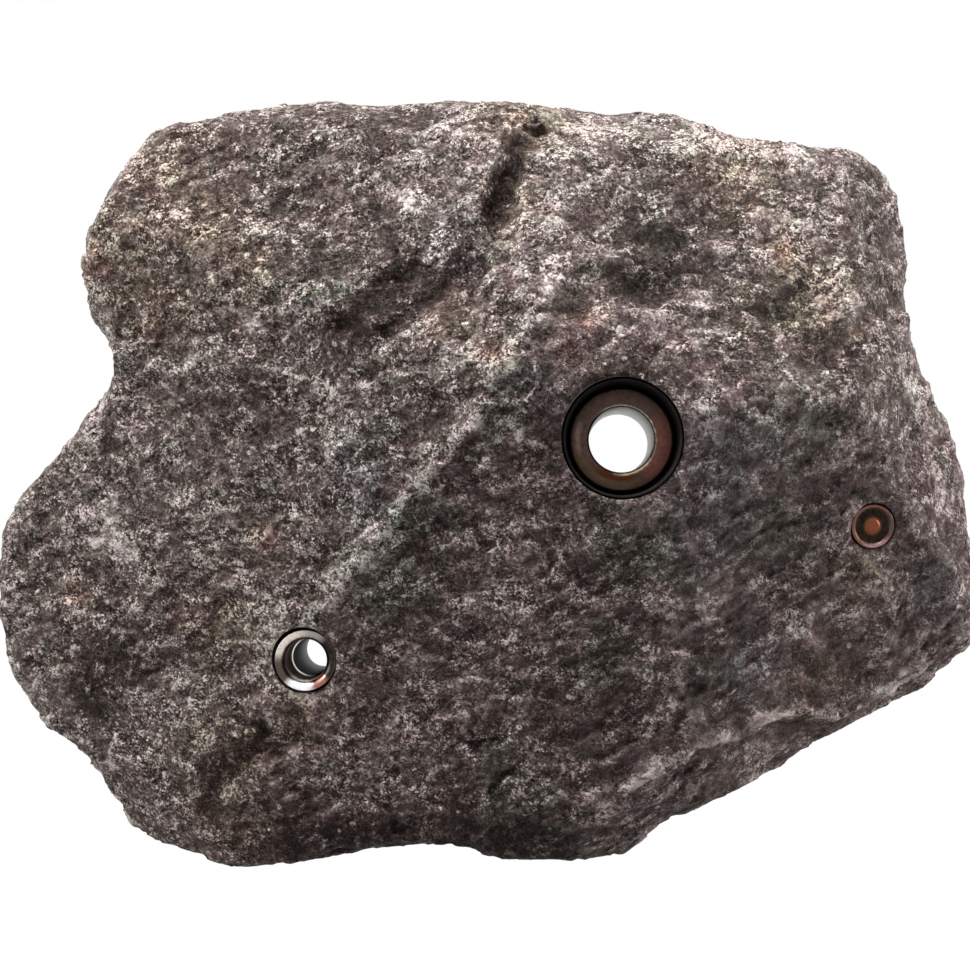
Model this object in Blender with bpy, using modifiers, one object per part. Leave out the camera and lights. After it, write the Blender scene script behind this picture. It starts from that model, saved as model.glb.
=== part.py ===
"""A bolt-on climbing hold: a split block of foliated stone with its steel inserts and a marker disc.

The wall plane is Y = 0 and the climber's side is -Y. +Z is up and +X is to the right. The origin lies on the
main bolt's axis, in the wall plane. Lengths below are in millimetres, and a height is measured from the wall
plane towards the climber. Objects are made in metres.
"""

import math
from collections import namedtuple

import bmesh
import bpy
import numpy as np
from mathutils import Euler, Matrix, Vector, noise

MM = 0.001
GAP = 0.3

# Bolt insert, on the origin's axis
BOLT_BORE_RADIUS = 5.5
BOLT_BORE_CHAMFER = 0.7
CUP_RIM_HEIGHT = 49.8
CUP_INNER_RADIUS = 9.45
CUP_WALL = 0.35
CUP_DRAFT = 0.15
CUP_CORNER_RADIUS = 0.8
CUP_CORNER_STEPS = 3
CUP_FLOOR = 1.0
SEAT_HEIGHT = 38.0
WASHER_RADIUS = 9.0
WASHER_THICKNESS = 2.4
WASHER_EDGE_CHAMFER = 0.4
SLEEVE_WALL = 1.2
SLEEVE_CLEAR_OF_WALL = 0.4
BEDDING = 0.7
BEDDING_CLEAR_OF_WALL = 1.0

# Screw insert, which keeps the hold from turning on its bolt
SCREW_X = -54.1
SCREW_Z = -37.7
SCREW_BORE_RADIUS = 3.2
SCREW_HOLE_RADIUS = 5.75
SCREW_HOLE_OFF_CENTRE = 0.25
FERRULE_RADIUS = 5.2
FERRULE_RIM_HEIGHT = 33.2
FERRULE_RIM_LAND = 0.3
FERRULE_EDGE_CHAMFER = 0.2
FERRULE_FLARE_DEPTH = 7.2
FERRULE_FLARE_STEPS = 6
FERRULE_BOTTOM_HEIGHT = 23.0
FERRULE_LEDGE = 0.3
SCREW_SLEEVE_WALL = 1.0

# Marker disc, let into the right of the face
MARKER_X = 42.4
MARKER_Z = -14.6
MARKER_HEIGHT = 36.8
MARKER_TILT = 16.0
MARKER_BEARING = -40.4
MARKER_RADIUS = 3.8
MARKER_THICKNESS = 1.0
MARKER_RIM_WIDTH = 0.55
MARKER_RIM_SLOPE = 0.2
MARKER_EDGE_CHAMFER = 0.15
MARKER_FIELD_DEPTH = 0.25
MARKER_BOSS_RADIUS = 1.3
MARKER_BOSS_SLOPE = 0.3
MARKER_BOSS_BELOW_RIM = 0.05

# Fits that follow from the sizes above
CUP_OUTER_RADIUS = CUP_INNER_RADIUS + CUP_WALL
CUP_FLOOR_TOP = SEAT_HEIGHT - WASHER_THICKNESS - GAP
CUP_BOTTOM = CUP_FLOOR_TOP - CUP_FLOOR
SLEEVE_RADIUS = BOLT_BORE_RADIUS + SLEEVE_WALL
CUP_OPENING_RADIUS = SLEEVE_RADIUS + GAP
COUNTERBORE_RADIUS = CUP_OUTER_RADIUS + GAP
COUNTERBORE_FLOOR = CUP_BOTTOM - BEDDING - 2.0 * GAP
SLEEVE_HOLE_RADIUS = SLEEVE_RADIUS + BEDDING + 2.0 * GAP
MARKER_SEAT = -MARKER_THICKNESS - 3.0 * GAP

# Blank that the stone is split from: the outline seen from the front, clockwise from the left notch
STONE_OUTLINE = (
    (-88.2, 13.0), (-92.0, 21.4), (-94.6, 29.8), (-92.8, 38.2), (-88.2, 46.7), (-81.4, 55.1), (-75.4, 56.0),
    (-64.9, 58.3), (-54.3, 59.1), (-43.8, 58.8), (-38.5, 59.3), (-28.0, 59.0), (-17.5, 58.3), (-13.8, 58.2),
    (-6.9, 58.0), (3.6, 57.2), (14.1, 55.3), (24.7, 53.0), (35.2, 51.6), (40.5, 50.4), (46.9, 46.7),
    (49.9, 38.2), (50.6, 31.0), (49.2, 24.5), (52.0, 13.0), (55.9, 4.5), (58.7, -3.9), (60.2, -14.0),
    (61.3, -33.4), (55.0, -40.4), (45.0, -46.7), (24.0, -57.8), (14.1, -63.7), (8.9, -65.7), (3.6, -69.7),
    (-6.9, -72.7), (-20.0, -72.7), (-28.0, -70.1), (-33.3, -69.7), (-49.1, -72.5), (-64.0, -75.0),
    (-76.0, -76.0), (-87.2, -73.4), (-91.0, -67.0), (-96.0, -57.5), (-105.5, -48.5), (-110.5, -38.5),
    (-111.5, -25.0), (-109.4, -13.2), (-105.2, -7.6), (-93.0, 4.0),
)
OUTLINE_STEPS = 3
BLANK_CENTRE = (-24.0, -7.0)
# Height of each ring of the blank's side, and its size beside the outline's
BLANK_RINGS = (
    (-4.0, 0.955), (4.0, 0.98), (10.0, 1.0), (22.0, 1.0), (34.0, 0.975), (46.0, 0.945), (58.0, 0.9),
)

# A facet passes through (x, z) at this height. It slopes from the wall plane's tilt by slope degrees, and
# bearing is the way it falls: 0 to the right, 90 up, 180 to the left, -90 down.
Facet = namedtuple("Facet", "x z height slope bearing")

LOWER_FACE = Facet(0.0, -10.0, 50.9, 18.6, -121.1)
BELLY_FACE = Facet(0.0, -10.0, 50.2, 16.7, -90.0)
RIDGE_FLANK = Facet(-20.2, 11.4, 47.5, 21.8, -168.2)
RIGHT_FACE = Facet(0.0, -10.0, 51.0, 21.2, -40.4)
BROW_FACE = Facet(0.0, 10.0, 52.0, 25.4, 62.4)
BROW_FACE_BENEATH = Facet(0.0, 10.0, 51.4, 26.0, 66.0)
RIGHT_UPPER_EDGE = Facet(38.8, 8.5, 43.5, 49.5, 20.0)
RIGHT_LOWER_EDGE = Facet(38.8, 8.5, 43.5, 49.1, 10.8)
LOWER_RIGHT_BEVEL = Facet(25.5, -47.8, 34.0, 45.5, -61.0)
LOWER_BEVEL = Facet(4.0, -59.7, 35.0, 45.5, -55.6)
UNDERSIDE = Facet(-45.0, -66.0, 27.3, 60.0, -79.0)
LOWER_LEFT_EDGE = Facet(-96.0, -47.0, 19.5, 48.0, -136.0)
SHELF_FACE = Facet(-28.7, -1.0, 48.5, 21.4, -155.7)
SHELF_TOP = Facet(-15.0, 30.0, 46.0, 24.0, 105.0)
BLOCK_FACE = Facet(-21.9, 29.7, 47.3, 22.0, 121.2)
BLOCK_LEFT = Facet(-60.0, 25.0, 40.6, 24.0, -150.0)
BLOCK_CORNER = Facet(-88.0, 40.0, 25.0, 52.0, 158.0)
TOP_EDGE_LEFT = Facet(-52.0, 56.5, 29.0, 60.0, 93.0)
TOP_EDGE_RIGHT = Facet(14.0, 52.5, 28.5, 55.0, 82.0)
# Breaks on the wall's side of the rim, facing back
BACK_BREAKS = (
    Facet(15.0, 55.0, 9.0, 112.0, 78.0),
    Facet(-50.0, 58.0, 6.0, 116.0, 93.0),
    Facet(-91.0, 39.0, 8.0, 118.0, 148.0),
    Facet(-110.5, -30.0, 5.0, 114.0, 188.0),
    Facet(-101.5, -56.5, 5.0, 118.0, -136.0),
    Facet(-50.0, -72.5, 9.0, 117.0, -93.0),
    Facet(-5.0, -72.5, 7.0, 121.0, -84.0),
    Facet(35.0, -53.0, 9.0, 113.0, -62.0),
    Facet(60.5, -20.0, 8.0, 117.0, -4.0),
    Facet(50.0, 38.0, 7.0, 115.0, 28.0),
)

# The heart and the shelf meet in the ridge that runs down past the screw
HEART = (
    LOWER_FACE, BELLY_FACE, SHELF_FACE, RIGHT_FACE, BROW_FACE_BENEATH, RIGHT_UPPER_EDGE, RIGHT_LOWER_EDGE,
    LOWER_RIGHT_BEVEL, LOWER_BEVEL, UNDERSIDE, LOWER_LEFT_EDGE, SHELF_TOP, TOP_EDGE_LEFT, TOP_EDGE_RIGHT,
)
# The brow ends at the gully, in a broken edge
BROW = (
    LOWER_FACE, BELLY_FACE, RIDGE_FLANK, RIGHT_FACE, BROW_FACE, RIGHT_UPPER_EDGE, RIGHT_LOWER_EDGE,
    LOWER_RIGHT_BEVEL, LOWER_BEVEL, TOP_EDGE_RIGHT,
    Facet(-17.3, 43.9, 40.7, 60.0, 165.0),
)
# The block stands on the shelf, with its sill below and the gully to its right
BLOCK = (
    BLOCK_FACE, BLOCK_LEFT, BLOCK_CORNER, TOP_EDGE_LEFT,
    Facet(-35.5, 25.0, 46.6, 38.0, -62.0),
    Facet(-27.0, 33.5, 45.2, 32.0, -40.0),
    Facet(-20.9, 43.0, 41.5, 60.0, -17.0),
)
TERRACES = (HEART, BROW, BLOCK)

# Stone surface
SKIN_VOXEL = 1.1
WEATHERING = 0.5
WEATHERING_PASSES = 3
LUMP_SIZE = 13.0
LUMP_RELIEF = 2.6
LAYER_SIZE = 4.5
LAYER_RELIEF = 1.5
LAYER_STRETCH = 3.0
LAYER_TILT = 22.0
# The broad faces are split flatter than the rim
FACE_SHARE = 0.3
RIM_GROUP = "rim"
SKIN_TRIANGLES = 8400

# Broken layers and flat chips: the way the layers rise across the face, and how far they lean out of it
LAYER_RISE = 26.0
LAYER_LEAN = 35.0
LAYER_THICKNESS = 4.6
STEP_RELIEF = 0.4
CHIP_SIZE = 6.5
CHIP_RELIEF = 0.22
# Size, shift and reach of the noise that makes the layers and the strokes run crooked
WIDE_BEND = (24.0, (11.3, 27.9, 43.1), 7.0)
CLOSE_BEND = (4.0, (1.4, 2.9, 7.3), 1.6)

# A ridge or a groove across the face: its relief, its width, and the points (x, z) that it follows
Stroke = namedtuple("Stroke", "relief width points")
STROKES = (
    Stroke(0.7, 2.4, ((-10.5, 27.0), (-15.0, 18.6), (-20.2, 10.5), (-24.5, 2.3), (-32.0, -6.0), (-41.5, -15.4),
                      (-50.0, -28.0))),
    Stroke(0.5, 2.4, ((-58.5, -43.0), (-66.0, -52.0), (-75.0, -61.5))),
    Stroke(-1.2, 2.2, ((-17.6, 49.8), (-19.2, 44.3), (-20.9, 38.5))),
    Stroke(-2.0, 2.0, ((-13.5, 52.6), (-16.5, 51.4))),
    Stroke(-1.0, 2.4, ((-47.0, 18.1), (-41.1, 24.2), (-34.6, 28.1))),
    Stroke(-1.0, 2.2, ((-40.0, 16.5), (-31.7, 23.5), (-25.4, 28.1))),
    Stroke(0.8, 1.6, ((-6.0, -62.0), (0.3, -61.0), (8.4, -53.6), (16.7, -50.0), (26.3, -46.7), (41.7, -47.0))),
    Stroke(0.8, 1.7, ((-10.3, 29.3), (3.0, 30.6), (13.1, 31.4), (21.7, 32.0))),
    Stroke(0.7, 1.8, ((-11.9, 14.4), (-5.4, 18.2), (0.4, 20.2), (11.3, 21.4), (21.4, 23.2))),
    Stroke(-1.1, 2.6, ((4.0, 33.0), (8.0, 32.6))),
    Stroke(-1.1, 2.4, ((2.5, 25.0), (7.5, 25.6))),
    Stroke(-0.9, 2.2, ((-11.5, 20.4), (-7.5, 21.0))),
    Stroke(-0.9, 2.8, ((25.0, 22.0), (29.0, 22.6))),
    Stroke(-0.9, 2.4, ((32.0, 13.5), (36.0, 14.2))),
)

# Cutters
SAW_CUT_SPAN = 400.0
SAW_CUT_DEPTH = 40.0
DRILL_TOP = 70.0
DRILL_BEHIND_WALL = 8.0
MARKER_DRILL_REACH = 8.0

ROUND_STEPS = 48
SMALL_ROUND_STEPS = 36


def new_collection(name):
    collection = bpy.data.collections.new(name)
    bpy.context.scene.collection.children.link(collection)
    return collection


def clear_scene():
    for thing in list(bpy.data.objects):
        bpy.data.objects.remove(thing)


def material(name, colour, roughness, metallic=0.0):
    made = bpy.data.materials.new(name)
    made.use_nodes = True
    shader = made.node_tree.nodes["Principled BSDF"]
    shader.inputs["Base Color"].default_value = (*colour, 1.0)
    shader.inputs["Roughness"].default_value = roughness
    shader.inputs["Metallic"].default_value = metallic
    return made


def add_object(name, mesh, collection, finish=None):
    thing = bpy.data.objects.new(name, mesh)
    collection.objects.link(thing)
    if finish:
        mesh.materials.append(finish)
    return thing


def make_cutter(thing):
    thing.hide_render = True
    thing.display_type = "WIRE"


def turned(name, profile, collection, finish=None, steps=ROUND_STEPS, solid=False):
    """A turned piece about its own Z axis. The profile is (radius, height) down the outer side and back up
    the inner side. A solid one starts and ends on the axis and isn't closed."""
    mesh = bpy.data.meshes.new(name)
    points = [(radius * MM, 0.0, height * MM) for radius, height in profile]
    edges = [(i, i + 1) for i in range(len(points) - 1)]
    if not solid:
        edges.append((len(points) - 1, 0))
    mesh.from_pydata(points, edges, [])
    thing = add_object(name, mesh, collection, finish)
    screw = thing.modifiers.new("turn", "SCREW")
    screw.axis = "Z"
    screw.steps = steps
    screw.render_steps = steps
    screw.use_merge_vertices = True
    screw.merge_threshold = 1e-6
    screw.use_smooth_shade = True
    return thing


def stand_off_wall(thing, x=0.0, z=0.0):
    """Turns a piece's own Z axis to point from the wall to the climber."""
    thing.location = (x * MM, 0.0, z * MM)
    thing.rotation_euler = (math.radians(90.0), 0.0, 0.0)


def facet_normal(slope, bearing):
    tilt, way = math.radians(slope), math.radians(bearing)
    return Vector((math.sin(tilt) * math.cos(way), -math.cos(tilt), math.sin(tilt) * math.sin(way)))


def outline_ring():
    """The blank's outline as a closed ring of points, smooth between the measured ones."""
    curve = bpy.data.curves.new("stone_outline", "CURVE")
    curve.dimensions = "2D"
    curve.fill_mode = "NONE"
    curve.resolution_u = OUTLINE_STEPS
    spline = curve.splines.new("BEZIER")
    spline.bezier_points.add(len(STONE_OUTLINE) - 1)
    for point, (x, z) in zip(spline.bezier_points, STONE_OUTLINE):
        point.co = (x, z, 0.0)
        point.handle_left_type = "AUTO"
        point.handle_right_type = "AUTO"
    spline.use_cyclic_u = True
    guide = bpy.data.objects.new("stone_outline", curve)
    bpy.context.scene.collection.objects.link(guide)
    bpy.context.view_layer.update()
    mesh = bpy.data.meshes.new_from_object(guide.evaluated_get(bpy.context.evaluated_depsgraph_get()))
    ring = [(vertex.co.x, vertex.co.y) for vertex in mesh.vertices]
    bpy.data.objects.remove(guide)
    bpy.data.meshes.remove(mesh)
    return ring


def stone_blank(ring):
    """The rough block: the outline drawn up through the rings of its side, closed at both ends."""
    blank = bmesh.new()
    centre_x, centre_z = BLANK_CENTRE
    rows = []
    for height, size in BLANK_RINGS:
        rows.append([
            blank.verts.new((
                (centre_x + (x - centre_x) * size) * MM,
                -height * MM,
                (centre_z + (z - centre_z) * size) * MM,
            ))
            for x, z in ring
        ])
    for low, high in zip(rows, rows[1:]):
        for i in range(len(ring)):
            blank.faces.new((low[i - 1], low[i], high[i], high[i - 1]))
    blank.faces.new(rows[0])
    blank.faces.new(rows[-1])
    bmesh.ops.recalc_face_normals(blank, faces=blank.faces)
    return blank


def split(block, facet):
    """Takes off all that stands in front of a facet."""
    cut = bmesh.ops.bisect_plane(
        block,
        geom=block.verts[:] + block.edges[:] + block.faces[:],
        dist=1e-7,
        plane_co=Vector((facet.x, -facet.height, facet.z)) * MM,
        plane_no=facet_normal(facet.slope, facet.bearing),
        clear_outer=True,
    )
    edges = [part for part in cut["geom_cut"] if isinstance(part, bmesh.types.BMEdge)]
    if edges:
        bmesh.ops.holes_fill(block, edges=edges, sides=0)


def add_terraces(ring):
    """Every terrace as its own closed block, in one mesh. They overlap, and the skin joins them."""
    mesh = bpy.data.meshes.new("stone_body")
    stack = bmesh.new()
    for facets in TERRACES:
        block = stone_blank(ring)
        for facet in facets + BACK_BREAKS:
            split(block, facet)
        bmesh.ops.recalc_face_normals(block, faces=block.faces)
        block.to_mesh(mesh)
        block.free()
        stack.from_mesh(mesh)
    stack.to_mesh(mesh)
    stack.free()
    return mesh


def roughen(stone, name, size, relief, guide=None):
    texture = bpy.data.textures.new(name, "CLOUDS")
    texture.noise_scale = size * MM
    texture.noise_depth = 2
    displace = stone.modifiers.new(name, "DISPLACE")
    displace.texture = texture
    displace.texture_coords = "OBJECT" if guide else "LOCAL"
    displace.texture_coords_object = guide
    displace.strength = relief * MM
    displace.mid_level = 0.5
    displace.vertex_group = RIM_GROUP


def subtract(stone, cutter):
    cut = stone.modifiers.new(cutter.name, "BOOLEAN")
    cut.operation = "DIFFERENCE"
    cut.object = cutter


def wall_side_cutter(cutters):
    """Everything behind the wall plane: it saws the stone's back flat."""
    mesh = bpy.data.meshes.new("saw_cut")
    box = bmesh.new()
    bmesh.ops.create_cube(box, size=1.0)
    size = Vector((SAW_CUT_SPAN, SAW_CUT_DEPTH, SAW_CUT_SPAN)) * MM
    bmesh.ops.scale(box, vec=size, verts=box.verts)
    bmesh.ops.translate(box, vec=(0.0, size.y / 2.0, 0.0), verts=box.verts)
    box.to_mesh(mesh)
    box.free()
    cutter = add_object("saw_cut", mesh, cutters)
    make_cutter(cutter)
    return cutter


def drill(name, profile, cutters, steps=ROUND_STEPS):
    cutter = turned(name, profile, cutters, steps=steps, solid=True)
    make_cutter(cutter)
    return cutter


def bolt_drill(cutters):
    """Counterbore for the cup, and the through hole for the sleeve and its bedding."""
    cutter = drill("bolt_drill", (
        (0.0, DRILL_TOP), (COUNTERBORE_RADIUS, DRILL_TOP), (COUNTERBORE_RADIUS, COUNTERBORE_FLOOR),
        (SLEEVE_HOLE_RADIUS, COUNTERBORE_FLOOR), (SLEEVE_HOLE_RADIUS, -DRILL_BEHIND_WALL),
        (0.0, -DRILL_BEHIND_WALL),
    ), cutters)
    stand_off_wall(cutter)
    return cutter


def screw_drill(cutters):
    """The screw's hole was drilled a little to the left of where its insert sits."""
    cutter = drill("screw_drill", (
        (0.0, DRILL_TOP), (SCREW_HOLE_RADIUS, DRILL_TOP), (SCREW_HOLE_RADIUS, -DRILL_BEHIND_WALL),
        (0.0, -DRILL_BEHIND_WALL),
    ), cutters, SMALL_ROUND_STEPS)
    stand_off_wall(cutter, SCREW_X - SCREW_HOLE_OFF_CENTRE, SCREW_Z)
    return cutter


def marker_pose():
    """Frame of the marker's seat: its Z axis is the local face's normal."""
    normal = facet_normal(MARKER_TILT, MARKER_BEARING)
    turn = normal.to_track_quat("Z", "Y").to_matrix().to_4x4()
    return Matrix.Translation(Vector((MARKER_X, -MARKER_HEIGHT, MARKER_Z)) * MM) @ turn


def marker_drill(cutters):
    radius = MARKER_RADIUS + GAP
    cutter = drill("marker_drill", (
        (0.0, MARKER_DRILL_REACH), (radius, MARKER_DRILL_REACH), (radius, MARKER_SEAT), (0.0, MARKER_SEAT),
    ), cutters, SMALL_ROUND_STEPS)
    cutter.matrix_world = marker_pose()
    return cutter


def layer_guide(parts):
    """An empty along the stone's layers, so that the fine relief is drawn out the way they run."""
    guide = bpy.data.objects.new("layer_direction", None)
    parts.objects.link(guide)
    guide.rotation_euler = Euler((0.0, math.radians(-LAYER_TILT), 0.0))
    guide.scale = (LAYER_STRETCH, 1.0, 1.0)
    guide.empty_display_size = 0.01
    return guide


def sampled(function, points):
    return np.fromiter((function(Vector(point)) for point in points), float, len(points))


def fractal(points, size, octaves, shift=0.0):
    """Smooth noise between about -1 and 1, whose largest lumps are of this size."""
    return sampled(lambda place: noise.fractal(place, 1.0, 2.0, octaves), points / size + shift)


def bent(points, bend):
    """Points pushed about, so that what is made there runs crooked."""
    size, shifts, reach = bend
    return points + np.column_stack([fractal(points, size, 2, shift) for shift in shifts]) * reach


def layer_axes():
    """Columns: along the layers across the face, down their dip, and out of the layers."""
    rise, lean = math.radians(LAYER_RISE), math.radians(LAYER_LEAN)
    along = np.array((math.cos(rise), 0.0, math.sin(rise)))
    out = np.array((-math.sin(rise) * math.cos(lean), -math.sin(lean), math.cos(rise) * math.cos(lean)))
    return np.column_stack((along, np.cross(out, along), out))


def layer_steps(local):
    """Broken edges of the layers: each rises slowly and drops off."""
    level = local[:, 2] / LAYER_THICKNESS + fractal(local / (2.4, 1.4, 1.0), 8.0, 2, 3.1) * 0.9
    rise = level - np.floor(level)
    drop = np.clip((1.0 - rise) / 0.2, 0.0, 1.0)
    broken = np.clip(0.55 + 1.5 * fractal(local / (2.0, 1.0, 1.0), 7.0, 2, 8.4), 0.0, 1.0)
    return (rise * drop - 0.45) * broken


def chips(points, size, shift):
    """Flat chips that lean every way, each a plane through its own cell."""

    def height(place):
        centre = noise.voronoi(place)[1][0]
        lean = noise.cell_vector(centre * 7.0)
        return (place - centre).dot(lean) * 2.0 + lean.x * 0.5

    return sampled(height, points / size + shift)


def line_distance(points, line):
    """Distance in the face's plan from every point to a line through (x, z) points."""
    plan = points[:, (0, 2)]
    nearest = np.full(len(plan), np.inf)
    for start, end in zip(np.array(line)[:-1], np.array(line)[1:]):
        run = end - start
        along = np.clip(((plan - start) @ run) / (run @ run), 0.0, 1.0)
        nearest = np.minimum(nearest, np.linalg.norm(plan - start - along[:, None] * run, axis=1))
    return nearest


def vertex_vectors(mesh, kind):
    values = np.empty(len(mesh.vertices) * 3)
    mesh.vertices.foreach_get(kind, values)
    return values.reshape(-1, 3)


def break_surface(mesh):
    """Moves the skin out and in: broken layers and chips all over, and the named strokes on the face."""
    points, out = vertex_vectors(mesh, "co") / MM, vertex_vectors(mesh, "normal")
    local = bent(points, WIDE_BEND) @ layer_axes()
    relief = STEP_RELIEF * layer_steps(local)
    relief += CHIP_RELIEF * chips(local / (2.0, 1.3, 1.0), CHIP_SIZE, 4.4)
    front = np.clip(-out[:, 1] * 2.0, 0.0, 1.0)
    crooked = bent(points, CLOSE_BEND)
    for stroke in STROKES:
        far = line_distance(crooked, stroke.points) / stroke.width
        relief += stroke.relief * np.exp(-far ** 2) * front
    mesh.vertices.foreach_set("co", ((points + out * relief[:, None]) * MM).ravel())
    mesh.update()


def applied(thing):
    """The mesh that an object's modifiers make. The object is removed."""
    bpy.context.view_layer.update()
    mesh = bpy.data.meshes.new_from_object(thing.evaluated_get(bpy.context.evaluated_depsgraph_get()))
    bpy.data.objects.remove(thing)
    return mesh


def weathered_blocks(parts):
    """The terraces joined in one skin, with their edges a little worn."""
    blocks = add_object("blocks", add_terraces(outline_ring()), parts)
    skin = blocks.modifiers.new("skin", "REMESH")
    skin.mode = "VOXEL"
    skin.voxel_size = SKIN_VOXEL * MM
    skin.use_smooth_shade = True
    weathering = blocks.modifiers.new("weathering", "SMOOTH")
    weathering.factor = WEATHERING
    weathering.iterations = WEATHERING_PASSES
    return applied(blocks)


def stone_skin(parts):
    """The stone's whole skin, lumpy and broken, before it is sawn and drilled."""
    skin = add_object("stone_skin", weathered_blocks(parts), parts)
    facing = np.clip((-vertex_vectors(skin.data, "normal")[:, 1] - 0.55) / 0.3, 0.0, 1.0)
    rim = skin.vertex_groups.new(name=RIM_GROUP)
    for i, share in enumerate(1.0 - (1.0 - FACE_SHARE) * facing):
        rim.add([i], share, "REPLACE")
    guide = layer_guide(parts)
    roughen(skin, "lumps", LUMP_SIZE, LUMP_RELIEF)
    roughen(skin, "layers", LAYER_SIZE, LAYER_RELIEF, guide)
    mesh = applied(skin)
    bpy.data.objects.remove(guide)
    break_surface(mesh)
    return mesh


def stone_body(parts, cutters, finish):
    skin = stone_skin(parts)
    skin.name = "stone_body"
    skin.calc_loop_triangles()
    stone = add_object("stone_body", skin, parts, finish)
    thin_out = stone.modifiers.new("thin_out", "DECIMATE")
    thin_out.ratio = SKIN_TRIANGLES / len(skin.loop_triangles)
    for make in (wall_side_cutter, bolt_drill, screw_drill, marker_drill):
        subtract(stone, make(cutters))
    return stone


def bolt_cup(parts, finish):
    """A drawn cup that lines the counterbore, its floor open for the sleeve."""
    rim, floor = CUP_RIM_HEIGHT, CUP_FLOOR_TOP
    low_inner = CUP_INNER_RADIUS - CUP_DRAFT
    inner = [(CUP_OPENING_RADIUS, floor), (low_inner - CUP_CORNER_RADIUS, floor)]
    for step in range(1, CUP_CORNER_STEPS):
        turn = math.pi / 2.0 * step / CUP_CORNER_STEPS
        inner.append((
            low_inner - CUP_CORNER_RADIUS * (1.0 - math.sin(turn)),
            floor + CUP_CORNER_RADIUS * (1.0 - math.cos(turn)),
        ))
    inner.append((low_inner, floor + CUP_CORNER_RADIUS))
    inner.append((CUP_INNER_RADIUS, rim))
    outer = [(CUP_OUTER_RADIUS, rim), (CUP_OUTER_RADIUS, CUP_BOTTOM), (CUP_OPENING_RADIUS, CUP_BOTTOM)]
    cup = turned("bolt_cup", outer + inner, parts, finish)
    stand_off_wall(cup)


def seat_washer(parts, finish):
    """The plain washer that the bolt's head bears on, countersunk at its bore."""
    low = SEAT_HEIGHT - WASHER_THICKNESS
    edge, mouth = WASHER_EDGE_CHAMFER, BOLT_BORE_CHAMFER
    washer = turned("seat_washer", (
        (WASHER_RADIUS - edge, SEAT_HEIGHT), (WASHER_RADIUS, SEAT_HEIGHT - edge), (WASHER_RADIUS, low),
        (BOLT_BORE_RADIUS, low), (BOLT_BORE_RADIUS, SEAT_HEIGHT - mouth),
        (BOLT_BORE_RADIUS + mouth, SEAT_HEIGHT),
    ), parts, finish)
    stand_off_wall(washer)


def tube(name, inner, outer, low, high, parts, finish, steps, x=0.0, z=0.0):
    made = turned(name, ((outer, high), (outer, low), (inner, low), (inner, high)), parts, finish, steps)
    stand_off_wall(made, x, z)


def bolt_bedding(parts, finish):
    """Cured adhesive round the sleeve, spread out below the cup."""
    high = CUP_BOTTOM - GAP
    low = COUNTERBORE_FLOOR + GAP
    inner = SLEEVE_RADIUS + GAP
    bedding = turned("bolt_bedding", (
        (CUP_OUTER_RADIUS, high), (CUP_OUTER_RADIUS, low), (inner + BEDDING, low),
        (inner + BEDDING, BEDDING_CLEAR_OF_WALL), (inner, BEDDING_CLEAR_OF_WALL), (inner, high),
    ), parts, finish)
    stand_off_wall(bedding)


def screw_ferrule(parts, finish):
    """A ferrule whose mouth flares like a trumpet, with a small ledge where it meets the sleeve."""
    rim = FERRULE_RIM_HEIGHT
    throat = SCREW_BORE_RADIUS + FERRULE_LEDGE
    edge = FERRULE_EDGE_CHAMFER
    flare = []
    for step in range(FERRULE_FLARE_STEPS + 1):
        turn = math.pi / 2.0 * step / FERRULE_FLARE_STEPS
        flare.append((
            throat + (FERRULE_RADIUS - FERRULE_RIM_LAND - throat) * (1.0 - math.cos(turn)),
            rim - FERRULE_FLARE_DEPTH * (1.0 - math.sin(turn)),
        ))
    outer = [
        (FERRULE_RADIUS - edge, rim), (FERRULE_RADIUS, rim - edge), (FERRULE_RADIUS, FERRULE_BOTTOM_HEIGHT),
        (throat, FERRULE_BOTTOM_HEIGHT),
    ]
    ferrule = turned("screw_ferrule", outer + flare, parts, finish, SMALL_ROUND_STEPS)
    stand_off_wall(ferrule, SCREW_X, SCREW_Z)


def marker_disc(parts, finish):
    """A bare disc with a raised rim and a low plain boss."""
    rim = MARKER_RADIUS - MARKER_RIM_WIDTH
    edge = MARKER_EDGE_CHAMFER
    field = -MARKER_FIELD_DEPTH
    boss = -MARKER_BOSS_BELOW_RIM
    disc = turned("marker_disc", (
        (0.0, boss), (MARKER_BOSS_RADIUS - MARKER_BOSS_SLOPE, boss), (MARKER_BOSS_RADIUS, field),
        (rim - MARKER_RIM_SLOPE, field), (rim, 0.0), (MARKER_RADIUS - edge, 0.0), (MARKER_RADIUS, -edge),
        (MARKER_RADIUS, -MARKER_THICKNESS), (0.0, -MARKER_THICKNESS),
    ), parts, finish, SMALL_ROUND_STEPS, solid=True)
    disc.matrix_world = marker_pose()


def marker_bedding(parts, finish):
    high = -MARKER_THICKNESS - GAP
    low = MARKER_SEAT + GAP
    radius = MARKER_RADIUS - GAP
    bedding = turned("marker_bedding", (
        (0.0, high), (radius, high), (radius, low), (0.0, low),
    ), parts, finish, SMALL_ROUND_STEPS, solid=True)
    bedding.matrix_world = marker_pose()


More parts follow.
